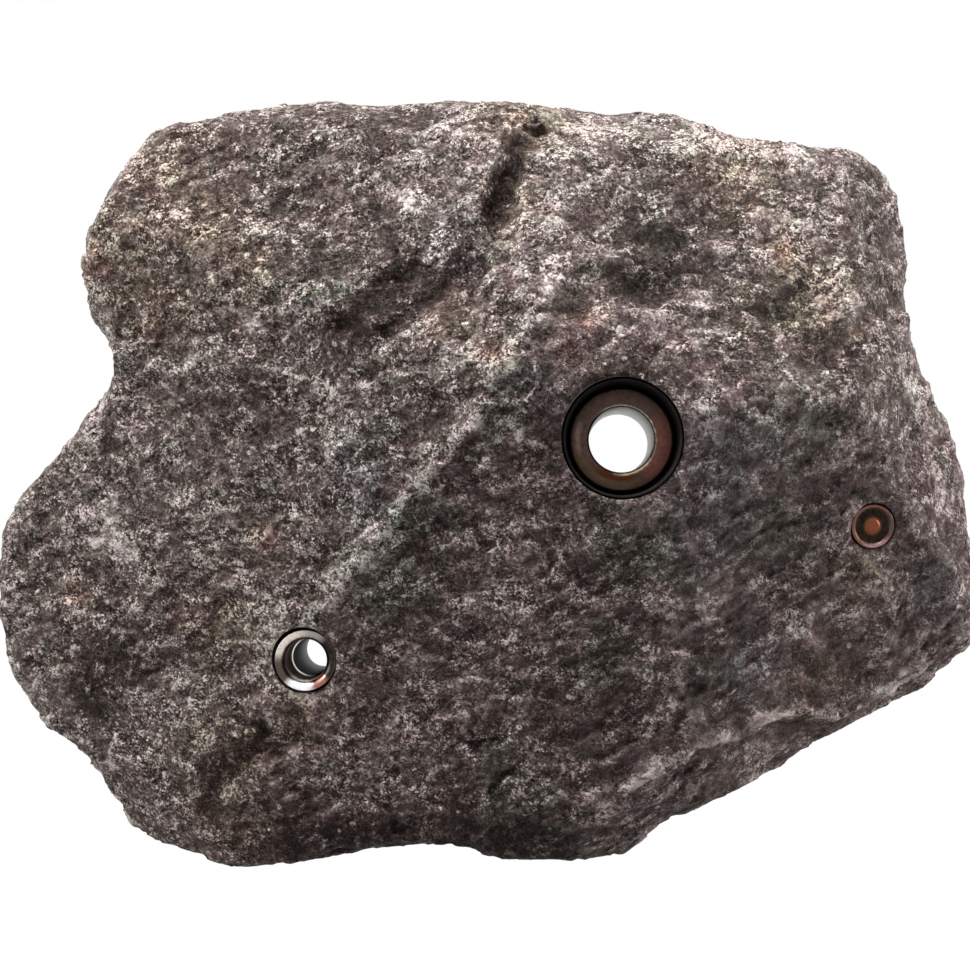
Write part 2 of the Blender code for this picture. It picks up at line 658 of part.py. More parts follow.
def main():
    clear_scene()
    parts = new_collection("climbing_hold")
    cutters = new_collection("cutters")
    rock = material("grey_brown_gneiss", (0.115, 0.09, 0.082), 0.78)
    black = material("black_steel", (0.012, 0.011, 0.011), 0.45, 0.6)
    brown = material("browned_steel", (0.075, 0.035, 0.026), 0.32, 0.9)
    bright = material("bright_steel", (0.56, 0.53, 0.51), 0.22, 1.0)
    dull = material("dull_steel", (0.12, 0.12, 0.125), 0.38, 1.0)
    cured = material("dark_adhesive", (0.018, 0.014, 0.012), 0.6)
    copper = material("antique_copper", (0.23, 0.085, 0.048), 0.4, 1.0)

    stone_body(parts, cutters, rock)
    bolt_cup(parts, black)
    seat_washer(parts, brown)
    tube(
        "bolt_sleeve", BOLT_BORE_RADIUS, SLEEVE_RADIUS, SLEEVE_CLEAR_OF_WALL, CUP_FLOOR_TOP, parts, bright,
        ROUND_STEPS,
    )
    bolt_bedding(parts, cured)
    screw_ferrule(parts, bright)
    tube(
        "screw_sleeve", SCREW_BORE_RADIUS, SCREW_BORE_RADIUS + SCREW_SLEEVE_WALL, SLEEVE_CLEAR_OF_WALL,
        FERRULE_BOTTOM_HEIGHT - GAP, parts, dull, SMALL_ROUND_STEPS, SCREW_X, SCREW_Z,
    )
    bedding_inner = SCREW_BORE_RADIUS + SCREW_SLEEVE_WALL + GAP
    tube(
        "screw_bedding", bedding_inner, bedding_inner + BEDDING, BEDDING_CLEAR_OF_WALL,
        FERRULE_BOTTOM_HEIGHT - GAP, parts, cured, SMALL_ROUND_STEPS, SCREW_X, SCREW_Z,
    )
    marker_disc(parts, copper)
    marker_bedding(parts, cured)


main()
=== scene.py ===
"""Looks of a climbing hold of split stone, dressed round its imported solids.

Lengths are in millimetres unless a name says otherwise, and MM turns them into the frame's metres. The
wall plane is Y = 0, the climber's side is -Y, +Z is up and +X is to the right. Heights are measured from
the wall.
"""

import math
from collections import namedtuple

import bmesh
import bpy
import numpy as np
from mathutils import Matrix, Vector, noise


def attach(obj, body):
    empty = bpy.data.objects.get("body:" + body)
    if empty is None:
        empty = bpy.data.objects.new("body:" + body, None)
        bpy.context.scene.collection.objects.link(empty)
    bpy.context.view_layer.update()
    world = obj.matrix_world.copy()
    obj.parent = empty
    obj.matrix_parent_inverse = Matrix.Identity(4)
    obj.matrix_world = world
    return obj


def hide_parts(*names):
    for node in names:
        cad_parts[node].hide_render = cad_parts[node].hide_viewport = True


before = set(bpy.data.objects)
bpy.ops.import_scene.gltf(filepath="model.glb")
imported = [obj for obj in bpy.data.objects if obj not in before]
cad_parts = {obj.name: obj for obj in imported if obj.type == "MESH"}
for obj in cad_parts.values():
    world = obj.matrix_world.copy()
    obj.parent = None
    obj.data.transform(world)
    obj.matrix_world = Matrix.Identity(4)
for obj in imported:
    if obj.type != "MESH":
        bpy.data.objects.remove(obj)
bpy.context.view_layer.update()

MM = 0.001

# Inserts, as the solids have them
BOLT_BORE_RADIUS = 5.5
CUP_RIM_HEIGHT = 49.8
CUP_INNER_RADIUS = 9.45
CUP_OUTER_RADIUS = 9.8
CUP_DRAFT = 0.15
CUP_BOTTOM = 34.3
CUP_FLOOR_TOP = 35.3
SEAT_HEIGHT = 38.0
WASHER_RADIUS = 9.0
WASHER_THICKNESS = 2.4
WASHER_EDGE_CHAMFER = 0.4
SLEEVE_RADIUS = 6.7
SLEEVE_CLEAR_OF_WALL = 0.4
BEDDING = 0.7
BEDDING_CLEAR_OF_WALL = 1.0
GAP = 0.3
SCREW_X = -54.1
SCREW_Z = -37.7
SCREW_BORE_RADIUS = 3.2
FERRULE_RADIUS = 5.2
FERRULE_RIM_HEIGHT = 33.2
FERRULE_RIM_LAND = 0.3
FERRULE_FLARE_DEPTH = 7.2
FERRULE_BOTTOM_HEIGHT = 23.0
FERRULE_LEDGE = 0.3
SCREW_SLEEVE_WALL = 1.0
MARKER_X = 42.4
MARKER_Z = -14.6
MARKER_HEIGHT = 36.8
MARKER_TILT = 16.0
MARKER_BEARING = -40.4
MARKER_RADIUS = 3.8
MARKER_THICKNESS = 1.0
MARKER_RIM_WIDTH = 0.55
MARKER_RIM_SLOPE = 0.2
MARKER_EDGE_CHAMFER = 0.15
MARKER_FIELD_DEPTH = 0.25
MARKER_BOSS_RADIUS = 1.3
MARKER_BOSS_SLOPE = 0.3
MARKER_BOSS_BELOW_RIM = 0.05

# Details of the inserts that are finer here than in the solids
BOLT_BORE_EDGE = 0.3
FERRULE_BELL_DEPTH = 1.6
FERRULE_BELL_FOOT = 3.6
FERRULE_BELL_STEPS = 16
BEDDING_CLEAR_OF_HOLE = 0.05

# Holes in the stone, as the solids have them
COUNTERBORE_RADIUS = 10.1
COUNTERBORE_FLOOR = 33.0
SLEEVE_HOLE_RADIUS = 8.0
SCREW_HOLE_X = -54.35
SCREW_HOLE_RADIUS = 5.75
MARKER_HOLE_RADIUS = 4.1
MARKER_SEAT = -1.9
DRILL_REACH = 80.0
MARKER_DRILL_REACH = 8.0
HOLE_TOLERANCE = 0.06
# Worn edge of each hole: how wide, and how far it sinks
WORN_WIDTH = 0.9
WORN_DEPTH = 0.45

# Meshes: facets round a turned piece, the stone's skin, and the arcs at a profile's corners
TURN_STEPS = 128
VOXEL = 0.72
BACK_DRAW = 4.0
BACK_TOLERANCE = 0.02
SOFTENING = 8
SHARP_ANGLE = 40.0
WELD = 1e-4
CORNER_STEPS = 3
CORNER_SHARE = 0.4

# Layers of the stone: the way they rise across the face, and how far they lean out of it
LAYER_RISE = 26.0
LAYER_LEAN = 35.0

# Relief of the skin: how thick its layers are, how wide its chips and lumps, and how high each stands
LAYER_THICKNESS = 4.6
LAYER_RELIEF = 0.22
BIG_CHIP = 6.5
BIG_CHIP_RELIEF = 0.14
SMALL_CHIP = 2.9
SMALL_CHIP_RELIEF = 0.22
LUMP = 1.7
LUMP_RELIEF = 0.18

# Crookedness: the size of the bends, and how far they push
WIDE_BEND = 24.0
WIDE_PUSH = 7.0
CLOSE_BEND = 3.4
CLOSE_PUSH = 1.1
STROKE_BEND = 4.0
STROKE_PUSH = 1.6
BAND_BEND = 5.0
BAND_PUSH = 2.6

# Points (x, z) that the crest follows, and the edge of the bevel
CREST = (
    (-10.5, 27.0), (-15.0, 18.6), (-20.2, 10.5), (-24.5, 2.3),
    (-32.0, -6.0), (-41.5, -15.4), (-50.0, -28.0),
)
BEVEL_EDGE = ((7.5, -55.2), (13.4, -51.8), (23.6, -48.4), (28.7, -46.2))
# Ridges and grooves across the face: their relief, their width, and the points (x, z) they follow
STROKES = (
    # Crest and its foot
    (0.45, 1.3, CREST),
    (0.3, 1.4, ((-58.5, -43.0), (-66.0, -52.0), (-75.0, -61.5))),
    # Gully beside the block at the upper left
    (-0.3, 1.8, ((-17.6, 49.8), (-19.2, 44.3), (-20.9, 38.5))),
    (-1.5, 0.8, ((-16.2, 52.9), (-13.7, 53.2))),
    (-0.8, 0.5, ((-20.9, 53.6), (-17.5, 54.5), (-14.5, 54.7))),
    (-1.0, 0.8, ((-20.3, 37.5), (-22.0, 33.4))),
    (-0.9, 0.8, ((-22.6, 31.0), (-25.3, 24.6))),
    # Sill of that block
    (-0.4, 1.6, ((-47.0, 18.1), (-41.1, 24.2), (-34.6, 28.1))),
    (-0.7, 1.2, ((-40.0, 16.5), (-31.7, 23.5), (-25.4, 28.1))),
    # Edge of the bevel below
    (0.4, 0.7, ((-0.2, -60.3), *BEVEL_EDGE, (40.6, -45.0))),
    # Ledges of the brow at the upper right
    (0.4, 0.9, ((-10.3, 29.3), (3.0, 30.6), (13.1, 31.4), (21.7, 32.0))),
    (0.4, 0.9, ((-11.9, 14.4), (-5.4, 18.2), (0.4, 20.2), (11.3, 21.4), (21.4, 23.2))),
    # Nicks in the lower half
    (-0.9, 0.7, ((9.0, -42.6), (13.6, -42.4))),
    (-0.9, 0.7, ((-22.4, -59.4), (-18.3, -56.5))),
    (-0.8, 0.6, ((-25.6, -52.8), (-21.0, -51.9))),
    (-0.8, 0.8, ((-67.0, -48.0), (-61.0, -50.0))),
)

# Paler and darker bands on the stone: their tone in stops, their width, and the points (x, z) they follow.
# One stop up is about twice as bright. Some bands are the stone's own tone and some are painted light and
# shade:
# painted highlights along the crest, the rims and the bevel's edge, painted shade in part of the heart,
# over the main bore and on the underside, and painted shadows in the sill and the gully.
BANDS = (
    # Crest, with a painted highlight along its ridge
    (0.85, 2.0, CREST[:4]),
    (-0.6, 2.2, ((-25.5, 8.5), (-23.0, 7.0))),
    (1.3, 2.0, ((-22.0, -1.5), (-19.0, 1.5))),
    (0.45, 2.4, ((-23.5, 1.8), (-29.5, -5.0), (-40.5, -15.6), (-49.5, -28.0))),
    (0.3, 3.0, ((-26.0, -1.5), (-31.5, -7.0))),
    (0.5, 2.0, ((-44.0, -19.0), (-49.0, -25.0))),
    # Heart, right of the crest, darkened partly as painted shade
    (-1.2, 3.6, ((-17.0, 13.5), (-12.0, 7.0))),
    (-0.6, 3.5, ((-15.0, 6.0), (-12.0, 2.0))),
    (-0.5, 3.0, ((-32.0, -16.0), (-38.5, -25.5))),
    (-0.2, 6.0, ((-6.0, -20.0), (0.0, -24.0))),
    (-0.5, 5.0, ((-12.0, -45.0), (-8.0, -50.0))),
    (0.55, 3.2, ((11.5, -27.5), (15.5, -27.0))),
    (0.8, 2.4, ((29.0, -30.5), (34.0, -28.5))),
    (0.5, 2.5, ((14.0, 1.0), (18.0, -1.0))),
    (-0.6, 4.0, ((18.0, -2.0), (22.0, -6.0))),
    (0.4, 4.5, ((29.0, 0.5), (41.0, 0.5))),
    # Round the main bore, with painted shade over its upper edge
    (-2.3, 2.3, ((-5.0, 11.4), (5.0, 11.4), (9.5, 8.5))),
    (0.6, 2.2, ((10.5, 8.5), (13.0, 7.5))),
    (-0.8, 2.5, ((-11.0, -4.0), (-10.5, -9.0))),
    (-0.45, 2.6, ((-9.0, 4.0), (-10.0, -6.0), (-4.0, -11.5), (4.0, -13.0), (11.0, -8.0))),
    # Brow at the upper right
    (-0.5, 3.0, ((-6.0, 36.0), (-1.0, 35.5))),
    (-2.2, 3.2, ((3.0, 34.0), (9.0, 33.0))),
    (-1.8, 2.6, ((1.0, 25.5), (8.0, 26.5))),
    (-0.8, 2.0, ((-13.0, 22.5), (-7.0, 21.0))),
    (0.6, 3.0, ((10.0, 20.4), (13.0, 21.0))),
    (-1.2, 2.6, ((25.0, 22.0), (30.0, 23.5))),
    (-1.5, 2.8, ((32.0, 15.5), (38.0, 13.0))),
    (-1.0, 3.2, ((11.0, 42.0), (17.0, 39.0))),
    (0.9, 2.8, ((26.0, 38.5), (30.0, 35.0))),
    (-0.5, 3.0, ((43.0, 27.0), (46.0, 25.5))),
    # Block at the upper left, its sill and the gully beside it, with painted shadows in the sill and the
    # gully
    (-0.5, 9.0, ((-80.0, 40.0), (-58.0, 42.0), (-42.0, 44.0))),
    (-0.65, 3.0, ((-72.0, 51.0), (-56.0, 55.0), (-35.0, 55.5))),
    (-0.5, 5.0, ((-63.5, 44.5), (-60.0, 43.5))),
    (1.7, 2.0, ((-38.0, 41.5), (-35.0, 39.0))),
    (-1.0, 3.0, ((-56.5, 30.0), (-52.0, 32.0))),
    (-0.7, 3.0, ((-53.5, 27.5), (-49.5, 26.5))),
    (-0.7, 3.0, ((-38.0, 31.5), (-35.5, 32.0))),
    (-2.7, 3.8, ((-35.0, 29.0), (-42.0, 21.0), (-46.5, 18.5))),
    (-0.8, 2.5, ((-38.5, 19.0), (-33.0, 22.5))),
    (-0.9, 2.8, ((-31.0, 24.0), (-26.0, 29.0))),
    (-1.7, 2.0, ((-17.8, 49.5), (-19.0, 45.0), (-22.0, 39.0))),
    (-0.6, 4.0, ((-84.0, 24.5), (-81.0, 23.0))),
    (0.6, 3.5, ((-80.0, 19.0), (-76.0, 18.0))),
    # Shelf at the left
    (-0.6, 4.0, ((-65.0, 4.0), (-60.0, 2.5))),
    (-0.4, 5.0, ((-56.0, -6.0), (-52.0, -8.0))),
    (1.2, 1.5, ((-61.0, -16.5), (-59.5, -15.8))),
    (1.8, 4.5, ((-90.5, -14.0), (-89.0, -17.0))),
    (0.5, 3.0, ((-96.0, -26.0), (-94.0, -30.0))),
    (-0.9, 3.0, ((-77.0, -27.0), (-73.0, -27.5))),
    (-1.7, 4.0, ((-91.0, -37.0), (-86.5, -38.5))),
    (-2.6, 3.2, ((-96.0, -43.5), (-93.5, -45.5))),
    # Foot, from the screw to the lower left
    (0.8, 4.0, ((-81.5, -47.5), (-78.5, -47.0))),
    (-0.45, 3.0, ((-86.0, -51.5), (-82.0, -53.5))),
    (0.7, 1.6, ((-54.6, -43.0), (-52.0, -50.0), (-59.7, -56.5), (-67.0, -61.0))),
    (-2.3, 2.8, ((-64.0, -50.0), (-72.5, -58.0))),
    (-1.7, 2.4, ((-70.0, -57.0), (-73.5, -61.0))),
    # Rims at the top and the right, paler as painted highlights
    (0.75, 1.9, ((-12.0, 54.5), (0.0, 53.4), (13.0, 52.0), (24.0, 49.5), (33.0, 48.0))),
    (0.5, 1.5, ((9.0, 52.6), (16.0, 51.2))),
    (1.0, 1.7, ((49.0, 12.0), (51.0, 5.0), (55.0, -10.0))),
    (1.5, 1.8, ((54.0, -7.0), (55.5, -13.0))),
    (-0.8, 2.6, ((54.5, -20.0), (56.0, -23.0))),
    (1.8, 2.2, ((45.0, -43.3), (52.0, -40.0))),
    # Bevel with a painted highlight along its edge, and the underside darkened as painted shade
    (-1.0, 1.8, ((38.5, -44.5), (42.5, -43.8))),
    (1.1, 0.8, ((-4.0, -62.0), *BEVEL_EDGE, (36.0, -45.6))),
    (0.45, 3.5, ((8.0, -60.0), (30.0, -51.5), (42.0, -47.0))),
    (-2.8, 3.7, ((-56.0, -69.5), (-44.0, -69.0), (-30.0, -68.7), (-22.0, -68.9), (-11.0, -70.0))),
    (-1.5, 1.8, ((-66.0, -71.8), (-58.0, -71.0))),
)
# Other tones in stops: painted shade on what faces down, the tone of the stone just below the ferrule, and
# painted shade at the bolt hole's edge
UNDERSIDE_PAINTED_SHADE = -1.4
FERRULE_FOOT_TONE = 1.2
BOLT_EDGE_PAINTED_SHADE = -1.2
TONE_RANGE = (-3.2, 1.8)

# Heights over the close and the wide neighbourhood at which the skin counts as wholly proud or sunk.
# Proud skin is painted paler, partly as bruised crystals and partly as a painted highlight; sunk skin is
# painted darker, as painted shade in its hollows.
PROUD_CLOSE = 0.12
PROUD_WIDE = 0.9

# The heart is darker, partly in its stone and partly as painted shade, for it faces down. It lies to one
# side of the crest and below a line that falls to the right.
ACROSS_CREST = (0.805, -0.594)
HEART_TOP = 24.0
HEART_TOP_START = -10.0
HEART_TOP_FALL = 0.3

# Stains of the stone's minerals on the face: x, z, radius
STAINS = {
    "green": (
        (-38.7, -24.9, 10.0), (-33.1, -13.5, 7.0), (26.4, -15.2, 9.0), (29.4, 1.9, 7.0), (-1.6, -15.6, 6.0),
        (6.2, -20.1, 7.0), (-2.5, -36.9, 7.0), (14.4, -41.6, 6.0), (-18.4, -61.4, 9.0), (-10.4, -68.3, 6.0),
        (6.2, 32.8, 5.0), (-17.5, 7.0, 6.0), (28.0, 22.5, 4.0), (-50.0, 26.0, 6.0),
    ),
    "tan": (
        (-83.9, 34.6, 9.0), (-71.0, 36.0, 8.0), (-80.0, 24.0, 8.0), (-78.0, 45.0, 8.0), (-64.4, 29.9, 7.0),
        (-28.0, 20.0, 4.0), (20.3, 44.3, 8.0), (-20.0, 38.0, 6.0), (31.0, 23.0, 9.0), (32.6, -40.8, 7.0),
        (41.5, -22.5, 6.0), (-55.3, -48.1, 6.0), (-66.0, -54.0, 9.0), (-69.3, -66.0, 8.0),
        (-69.3, -31.0, 7.0), (-15.0, 55.0, 7.0),
    ),
    "rose": (
        (-60.3, -16.2, 2.8), (-9.0, 14.5, 2.0), (-5.5, 19.4, 2.4), (-20.6, 13.3, 2.4), (27.3, 32.1, 2.2),
        (40.0, 17.9, 2.2), (-90.3, 30.0, 2.8), (-96.0, -26.7, 2.4), (-47.0, -68.0, 3.0),
    ),
    "blue": (
        (18.1, -2.4, 7.0), (14.0, -14.6, 6.0), (52.1, -23.8, 5.0), (-44.5, -6.8, 6.0), (-25.8, 34.7, 6.0),
        (22.1, -37.0, 6.0), (-14.0, 9.0, 4.0),
    ),
}
STAIN_HUES = {
    "green": (0.64, 0.79, 0.69),
    "tan": (1.03, 0.965, 0.80),
    "rose": (1.25, 0.97, 0.84),
    "blue": (0.90, 1.0, 1.12),
}

# Shade of the stone, from its darkest minerals at 0 to its palest at 1
MINERAL_SHADES = (
    (0.00, (0.0115, 0.0060, 0.0042)),
    (0.22, (0.0310, 0.0195, 0.0173)),
    (0.38, (0.0605, 0.0415, 0.0382)),
    (0.50, (0.099, 0.0720, 0.0675)),
    (0.62, (0.167, 0.130, 0.124)),
    (0.76, (0.340, 0.285, 0.276)),
    (0.92, (0.65, 0.575, 0.563)),
)
SHADE_CONTRAST = 1.4
SHADE_MIDDLE = 0.532
GRAIN_MIDDLE = 0.835
# Darkening of the heart, partly painted shade
HEART_SHADE = -0.035
# One stop on the scale of shades
STOP = 0.165

# Grains, crystals and clouds of the stone
FINE_GRAIN = 0.3
COARSE_GRAIN = 0.85
CRYSTAL_SPACING = 3.6
CRYSTAL_COLOUR = (0.72, 0.68, 0.63, 1.0)
SUGAR = 0.9
CLOUD = 3.0
BROAD_CLOUD = 13.0

# Camera
CAMERA_PLACE = (-8.0, -450.0, -9.5)
CAMERA_RISE = 0.26
CAMERA_TURN = 2.09
CAMERA_LENS = 90.5
SENSOR = 36.0

# Studio, in metres and watts: each lamp's name, place, size and power
LAMPS = (
    ("top_lamp", (-0.103, -0.206, 0.619), 0.34, 9.0),
    ("left_lamp", (-0.9, -0.35, 0.3), 0.4, 8.0),
    ("right_lamp", (0.9, -0.05, 0.15), 0.4, 10.0),
)
WHITE = (1.0, 1.0, 1.0, 1.0)
AMBIENT = 0.14
FLOOR_DROP = 0.9
FLOOR_SIZE = 12.0
FLOOR_FADE = (0.65, 1.3)


def link_object(name, mesh):
    thing = bpy.data.objects.new(name, mesh)
    bpy.context.scene.collection.objects.link(thing)
    return thing


def marker_frame():
    """Frame of the disc: its Z axis points out of the stone."""
    lean, way = math.radians(MARKER_TILT), math.radians(MARKER_BEARING)
    out = Vector((math.sin(lean) * math.cos(way), -math.cos(lean), math.sin(lean) * math.sin(way)))
    turn = out.to_track_quat("Z", "Y").to_matrix().to_4x4()
    return Matrix.Translation(Vector((MARKER_X, -MARKER_HEIGHT, MARKER_Z)) * MM) @ turn


def bolt_frame(x=0.0, z=0.0):
    """Frame of a bore: its Z axis points from the wall to the climber."""
    return Matrix.Translation(Vector((x, 0.0, z)) * MM) @ Matrix.Rotation(math.radians(90.0), 4, "X")


# A drilled hole: its frame, its radius, and how far its wall reaches along its axis to either side
Hole = namedtuple("Hole", "place radius reach")
BOLT_HOLE = Hole(bolt_frame(), COUNTERBORE_RADIUS, DRILL_REACH)
SCREW_HOLE = Hole(bolt_frame(SCREW_HOLE_X, SCREW_Z), SCREW_HOLE_RADIUS, DRILL_REACH)
MARKER_HOLE = Hole(marker_frame(), MARKER_HOLE_RADIUS, 3.0)
HOLES = (BOLT_HOLE, SCREW_HOLE, MARKER_HOLE)


def evaluated_mesh(thing):
    """The mesh that an object's modifiers make. The object is removed."""
    bpy.context.view_layer.update()
    source = thing.evaluated_get(bpy.context.evaluated_depsgraph_get())
    made = bpy.data.meshes.new_from_object(source)
    bpy.data.objects.remove(thing)
    return made


def rows(items, name, width, kind=float):
    """What every vertex or edge holds under this name, one row each."""
    values = np.empty(len(items) * width, dtype=kind)
    items.foreach_get(name, values)
    return values.reshape(-1, width)


def points_and_normals(mesh):
    return rows(mesh.vertices, "co", 3) / MM, rows(mesh.vertices, "normal", 3)


def move_points(mesh, points):
    mesh.vertices.foreach_set("co", (points * MM).ravel())
    mesh.update()


def whole_stone():
    """The solid stone with its holes closed and its back drawn out behind the wall plane."""
    stone = bmesh.new()
    stone.from_mesh(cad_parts["stone_body"].data)
    bmesh.ops.remove_doubles(stone, verts=stone.verts, dist=WELD * MM)
    for hole in HOLES:
        into = hole.place.inverted()
        radius = (hole.radius + HOLE_TOLERANCE) * MM

        def on_wall(vertex):
            local = into @ vertex.co
            return math.hypot(local.x, local.y) < radius and abs(local.z) < hole.reach * MM

        doomed = [face for face in stone.faces if all(on_wall(vertex) for vertex in face.verts)]
        bmesh.ops.delete(stone, geom=doomed, context="FACES")
    rims = [edge for edge in stone.edges if edge.is_boundary]
    bmesh.ops.holes_fill(stone, edges=rims, sides=0)
    for vertex in stone.verts:
        if vertex.co.y > -BACK_TOLERANCE * MM:
            vertex.co.y = BACK_DRAW * MM
    bmesh.ops.triangulate(stone, faces=stone.faces)
    bmesh.ops.recalc_face_normals(stone, faces=stone.faces)
    mesh = bpy.data.meshes.new("stone")
    stone.to_mesh(mesh)
    stone.free()
    return mesh


def fine_skin(mesh):
    """The stone in small even facets, with its edges softened."""
    thing = link_object("fine_skin", mesh)
    skin = thing.modifiers.new("skin", "REMESH")
    skin.mode = "VOXEL"
    skin.voxel_size = VOXEL * MM
    soft = thing.modifiers.new("soft", "SMOOTH")
    soft.factor = 0.5
    soft.iterations = SOFTENING
    return evaluated_mesh(thing)


def sampled(function, points):
    return np.fromiter((function(Vector(point)) for point in points), float, len(points))


def fractal(points, size, octaves, shift):
    """Smooth noise between about -1 and 1, whose largest lumps are of this size."""
    return sampled(lambda place: noise.fractal(place, 1.0, 2.0, octaves), points / size + shift)


def wandering(points, size, octaves, shifts):
    """A vector for every point. Each of its three parts is a smooth noise with a shift of its own."""
    return np.column_stack([fractal(points, size, octaves, shift) for shift in shifts])


def layer_axes():
    """Columns: along the layers across the face, down their dip, and out of the layers."""
    rise, lean = math.radians(LAYER_RISE), math.radians(LAYER_LEAN)
    along = np.array((math.cos(rise), 0.0, math.sin(rise)))
    out = np.array((-math.sin(rise) * math.cos(lean), -math.sin(lean), math.cos(rise) * math.cos(lean)))
    return np.column_stack((along, np.cross(out, along), out))


def warped(points):
    """Points pushed about, so that what is made there runs crooked."""
    wide = wandering(points, WIDE_BEND, 2, (11.3, 27.9, 43.1))
    close = wandering(points, CLOSE_BEND, 2, (5.7, 19.2, 33.6))
    return points + wide * WIDE_PUSH + close * CLOSE_PUSH


def chips(points, size, shift):
    """Flat chips that lean every way, each a plane through its own cell."""

    def height(place):
        centre = noise.voronoi(place)[1][0]
        lean = noise.cell_vector(centre * 7.0)
        return (place - centre).dot(lean) * 2.0 + lean.x * 0.5

    return sampled(height, points / size + shift)


def layer_steps(local):
    """Broken edges of the layers: each rises slowly and drops off."""
    level = local[:, 2] / LAYER_THICKNESS + fractal(local / (2.4, 1.4, 1.0), 8.0, 2, 3.1) * 0.9
    rise = level - np.floor(level)
    drop = np.clip((1.0 - rise) / 0.14, 0.0, 1.0)
    broken = np.clip(0.55 + 1.5 * fractal(local / (2.0, 1.0, 1.0), 7.0, 2, 8.4), 0.0, 1.0)
    return (rise * drop - 0.45) * broken


def line_distance(points, line):
    """Distance in the face's plan from every point to a line through (x, z) points."""
    plan = points[:, (0, 2)]
    nearest = np.full(len(plan), np.inf)
    for start, end in zip(np.array(line)[:-1], np.array(line)[1:]):
        run = end - start
        along = np.clip(((plan - start) @ run) / (run @ run), 0.0, 1.0)
        nearest = np.minimum(nearest, np.linalg.norm(plan - start - along[:, None] * run, axis=1))
    return nearest


def wall_distance(points, hole):
    """Distance of every point from a hole's wall."""
    into = hole.place.inverted()
    local = points * MM @ np.array(into.to_3x3()).T + np.array(into.translation)
    return np.hypot(local[:, 0], local[:, 1]) / MM - hole.radius


def strokes(crooked):
    """Relief of the ridges and grooves that STROKES lists."""
    total = np.zeros(len(crooked))
    for relief, width, line in STROKES:
        total += relief * np.exp(-(line_distance(crooked, line) / width) ** 2)
    return total


def weathered(mesh):
    """Moves the fine skin out and in: broken layers, chips, lumps, strokes and the holes' worn edges."""
    points, out = points_and_normals(mesh)
    bent = warped(points)
    local = bent @ layer_axes()
    drawn = local / (2.0, 1.3, 1.0)
    front = np.clip(-out[:, 1] * 2.0, 0.0, 1.0)
    relief = LAYER_RELIEF * layer_steps(local)
    relief += BIG_CHIP_RELIEF * chips(drawn, BIG_CHIP, 4.4)
    relief += SMALL_CHIP_RELIEF * chips(drawn, SMALL_CHIP, 9.9)
    relief += LUMP_RELIEF * fractal(drawn, LUMP, 2, 6.6)
    crooked = points + wandering(points, STROKE_BEND, 2, (1.4, 2.9, 7.3)) * STROKE_PUSH
    relief += strokes(crooked) * front
    for hole in HOLES:
        worn = np.clip(1.0 - wall_distance(points, hole) / WORN_WIDTH, 0.0, 1.0)
        relief -= WORN_DEPTH * worn ** 2
    move_points(mesh, points + out * relief[:, None])
    return mesh


def sawn_flat(mesh):
    """Saws the back off at the wall plane."""
    stone = bmesh.new()
    stone.from_mesh(mesh)
    cut = bmesh.ops.bisect_plane(
        stone, geom=stone.verts[:] + stone.edges[:] + stone.faces[:], dist=WELD * MM,
        plane_co=(0.0, 0.0, 0.0), plane_no=(0.0, 1.0, 0.0), clear_outer=True,
    )
    edges = [part for part in cut["geom_cut"] if isinstance(part, bmesh.types.BMEdge)]
    filled = bmesh.ops.holes_fill(stone, edges=edges, sides=0)
    for face in filled["faces"]:
        face.material_index = 1
    bmesh.ops.recalc_face_normals(stone, faces=stone.faces)
    stone.to_mesh(mesh)
    stone.free()
    return mesh


def turned(name, profile, solid=False):
    """Mesh turned about Z. The profile of (radius, height) goes down its outside and up its inside."""
    mesh = bpy.data.meshes.new(name)
    edges = [(i, i + 1) for i in range(len(profile) - 1)]
    if not solid:
        edges.append((len(profile) - 1, 0))
    mesh.from_pydata([(radius * MM, 0.0, height * MM) for radius, height in profile], edges, [])
    thing = link_object(name, mesh)
    screw = thing.modifiers.new("turn", "SCREW")
    screw.axis = "Z"
    screw.steps = TURN_STEPS
    screw.render_steps = TURN_STEPS
    screw.use_merge_vertices = True
    screw.merge_threshold = WELD * MM
    screw.use_smooth_shade = True
    return evaluated_mesh(thing)


def cylinder(radius, top, bottom):
    """Profile of a plain cylinder."""
    return (0.0, top), (radius, top), (radius, bottom), (0.0, bottom)


def tube(outer, inner, top, bottom):
    """Profile of a plain tube."""
    return (outer, top), (outer, bottom), (inner, bottom), (inner, top)


def drills():
    """The three holes' cutters as one mesh."""
    shapes = (
        (BOLT_HOLE.place, (
            (0.0, DRILL_REACH), (COUNTERBORE_RADIUS, DRILL_REACH), (COUNTERBORE_RADIUS, COUNTERBORE_FLOOR),
            (SLEEVE_HOLE_RADIUS, COUNTERBORE_FLOOR), (SLEEVE_HOLE_RADIUS, -BACK_DRAW), (0.0, -BACK_DRAW),
        )),
        (SCREW_HOLE.place, cylinder(SCREW_HOLE_RADIUS, DRILL_REACH, -BACK_DRAW)),
        (MARKER_HOLE.place, cylinder(MARKER_HOLE_RADIUS, MARKER_DRILL_REACH, MARKER_SEAT)),
    )
    stack = bmesh.new()
    for place, profile in shapes:
        mesh = turned("drill", profile, solid=True)
        mesh.transform(place)
        for face in mesh.polygons:
            face.material_index = 1
        stack.from_mesh(mesh)
    joined = bpy.data.meshes.new("drills")
    stack.to_mesh(joined)
    stack.free()
    return joined


def drilled(mesh):
    """The stone with its three holes drilled. Their walls have the sawn finish."""
    stone, cutter = link_object("drilled", mesh), link_object("drills", drills())
    for finish in mesh.materials:
        cutter.data.materials.append(finish)
    cut = stone.modifiers.new("cut", "BOOLEAN")
    cut.operation = "DIFFERENCE"
    cut.object = cutter
    made = evaluated_mesh(stone)
    bpy.data.objects.remove(cutter)
    return made


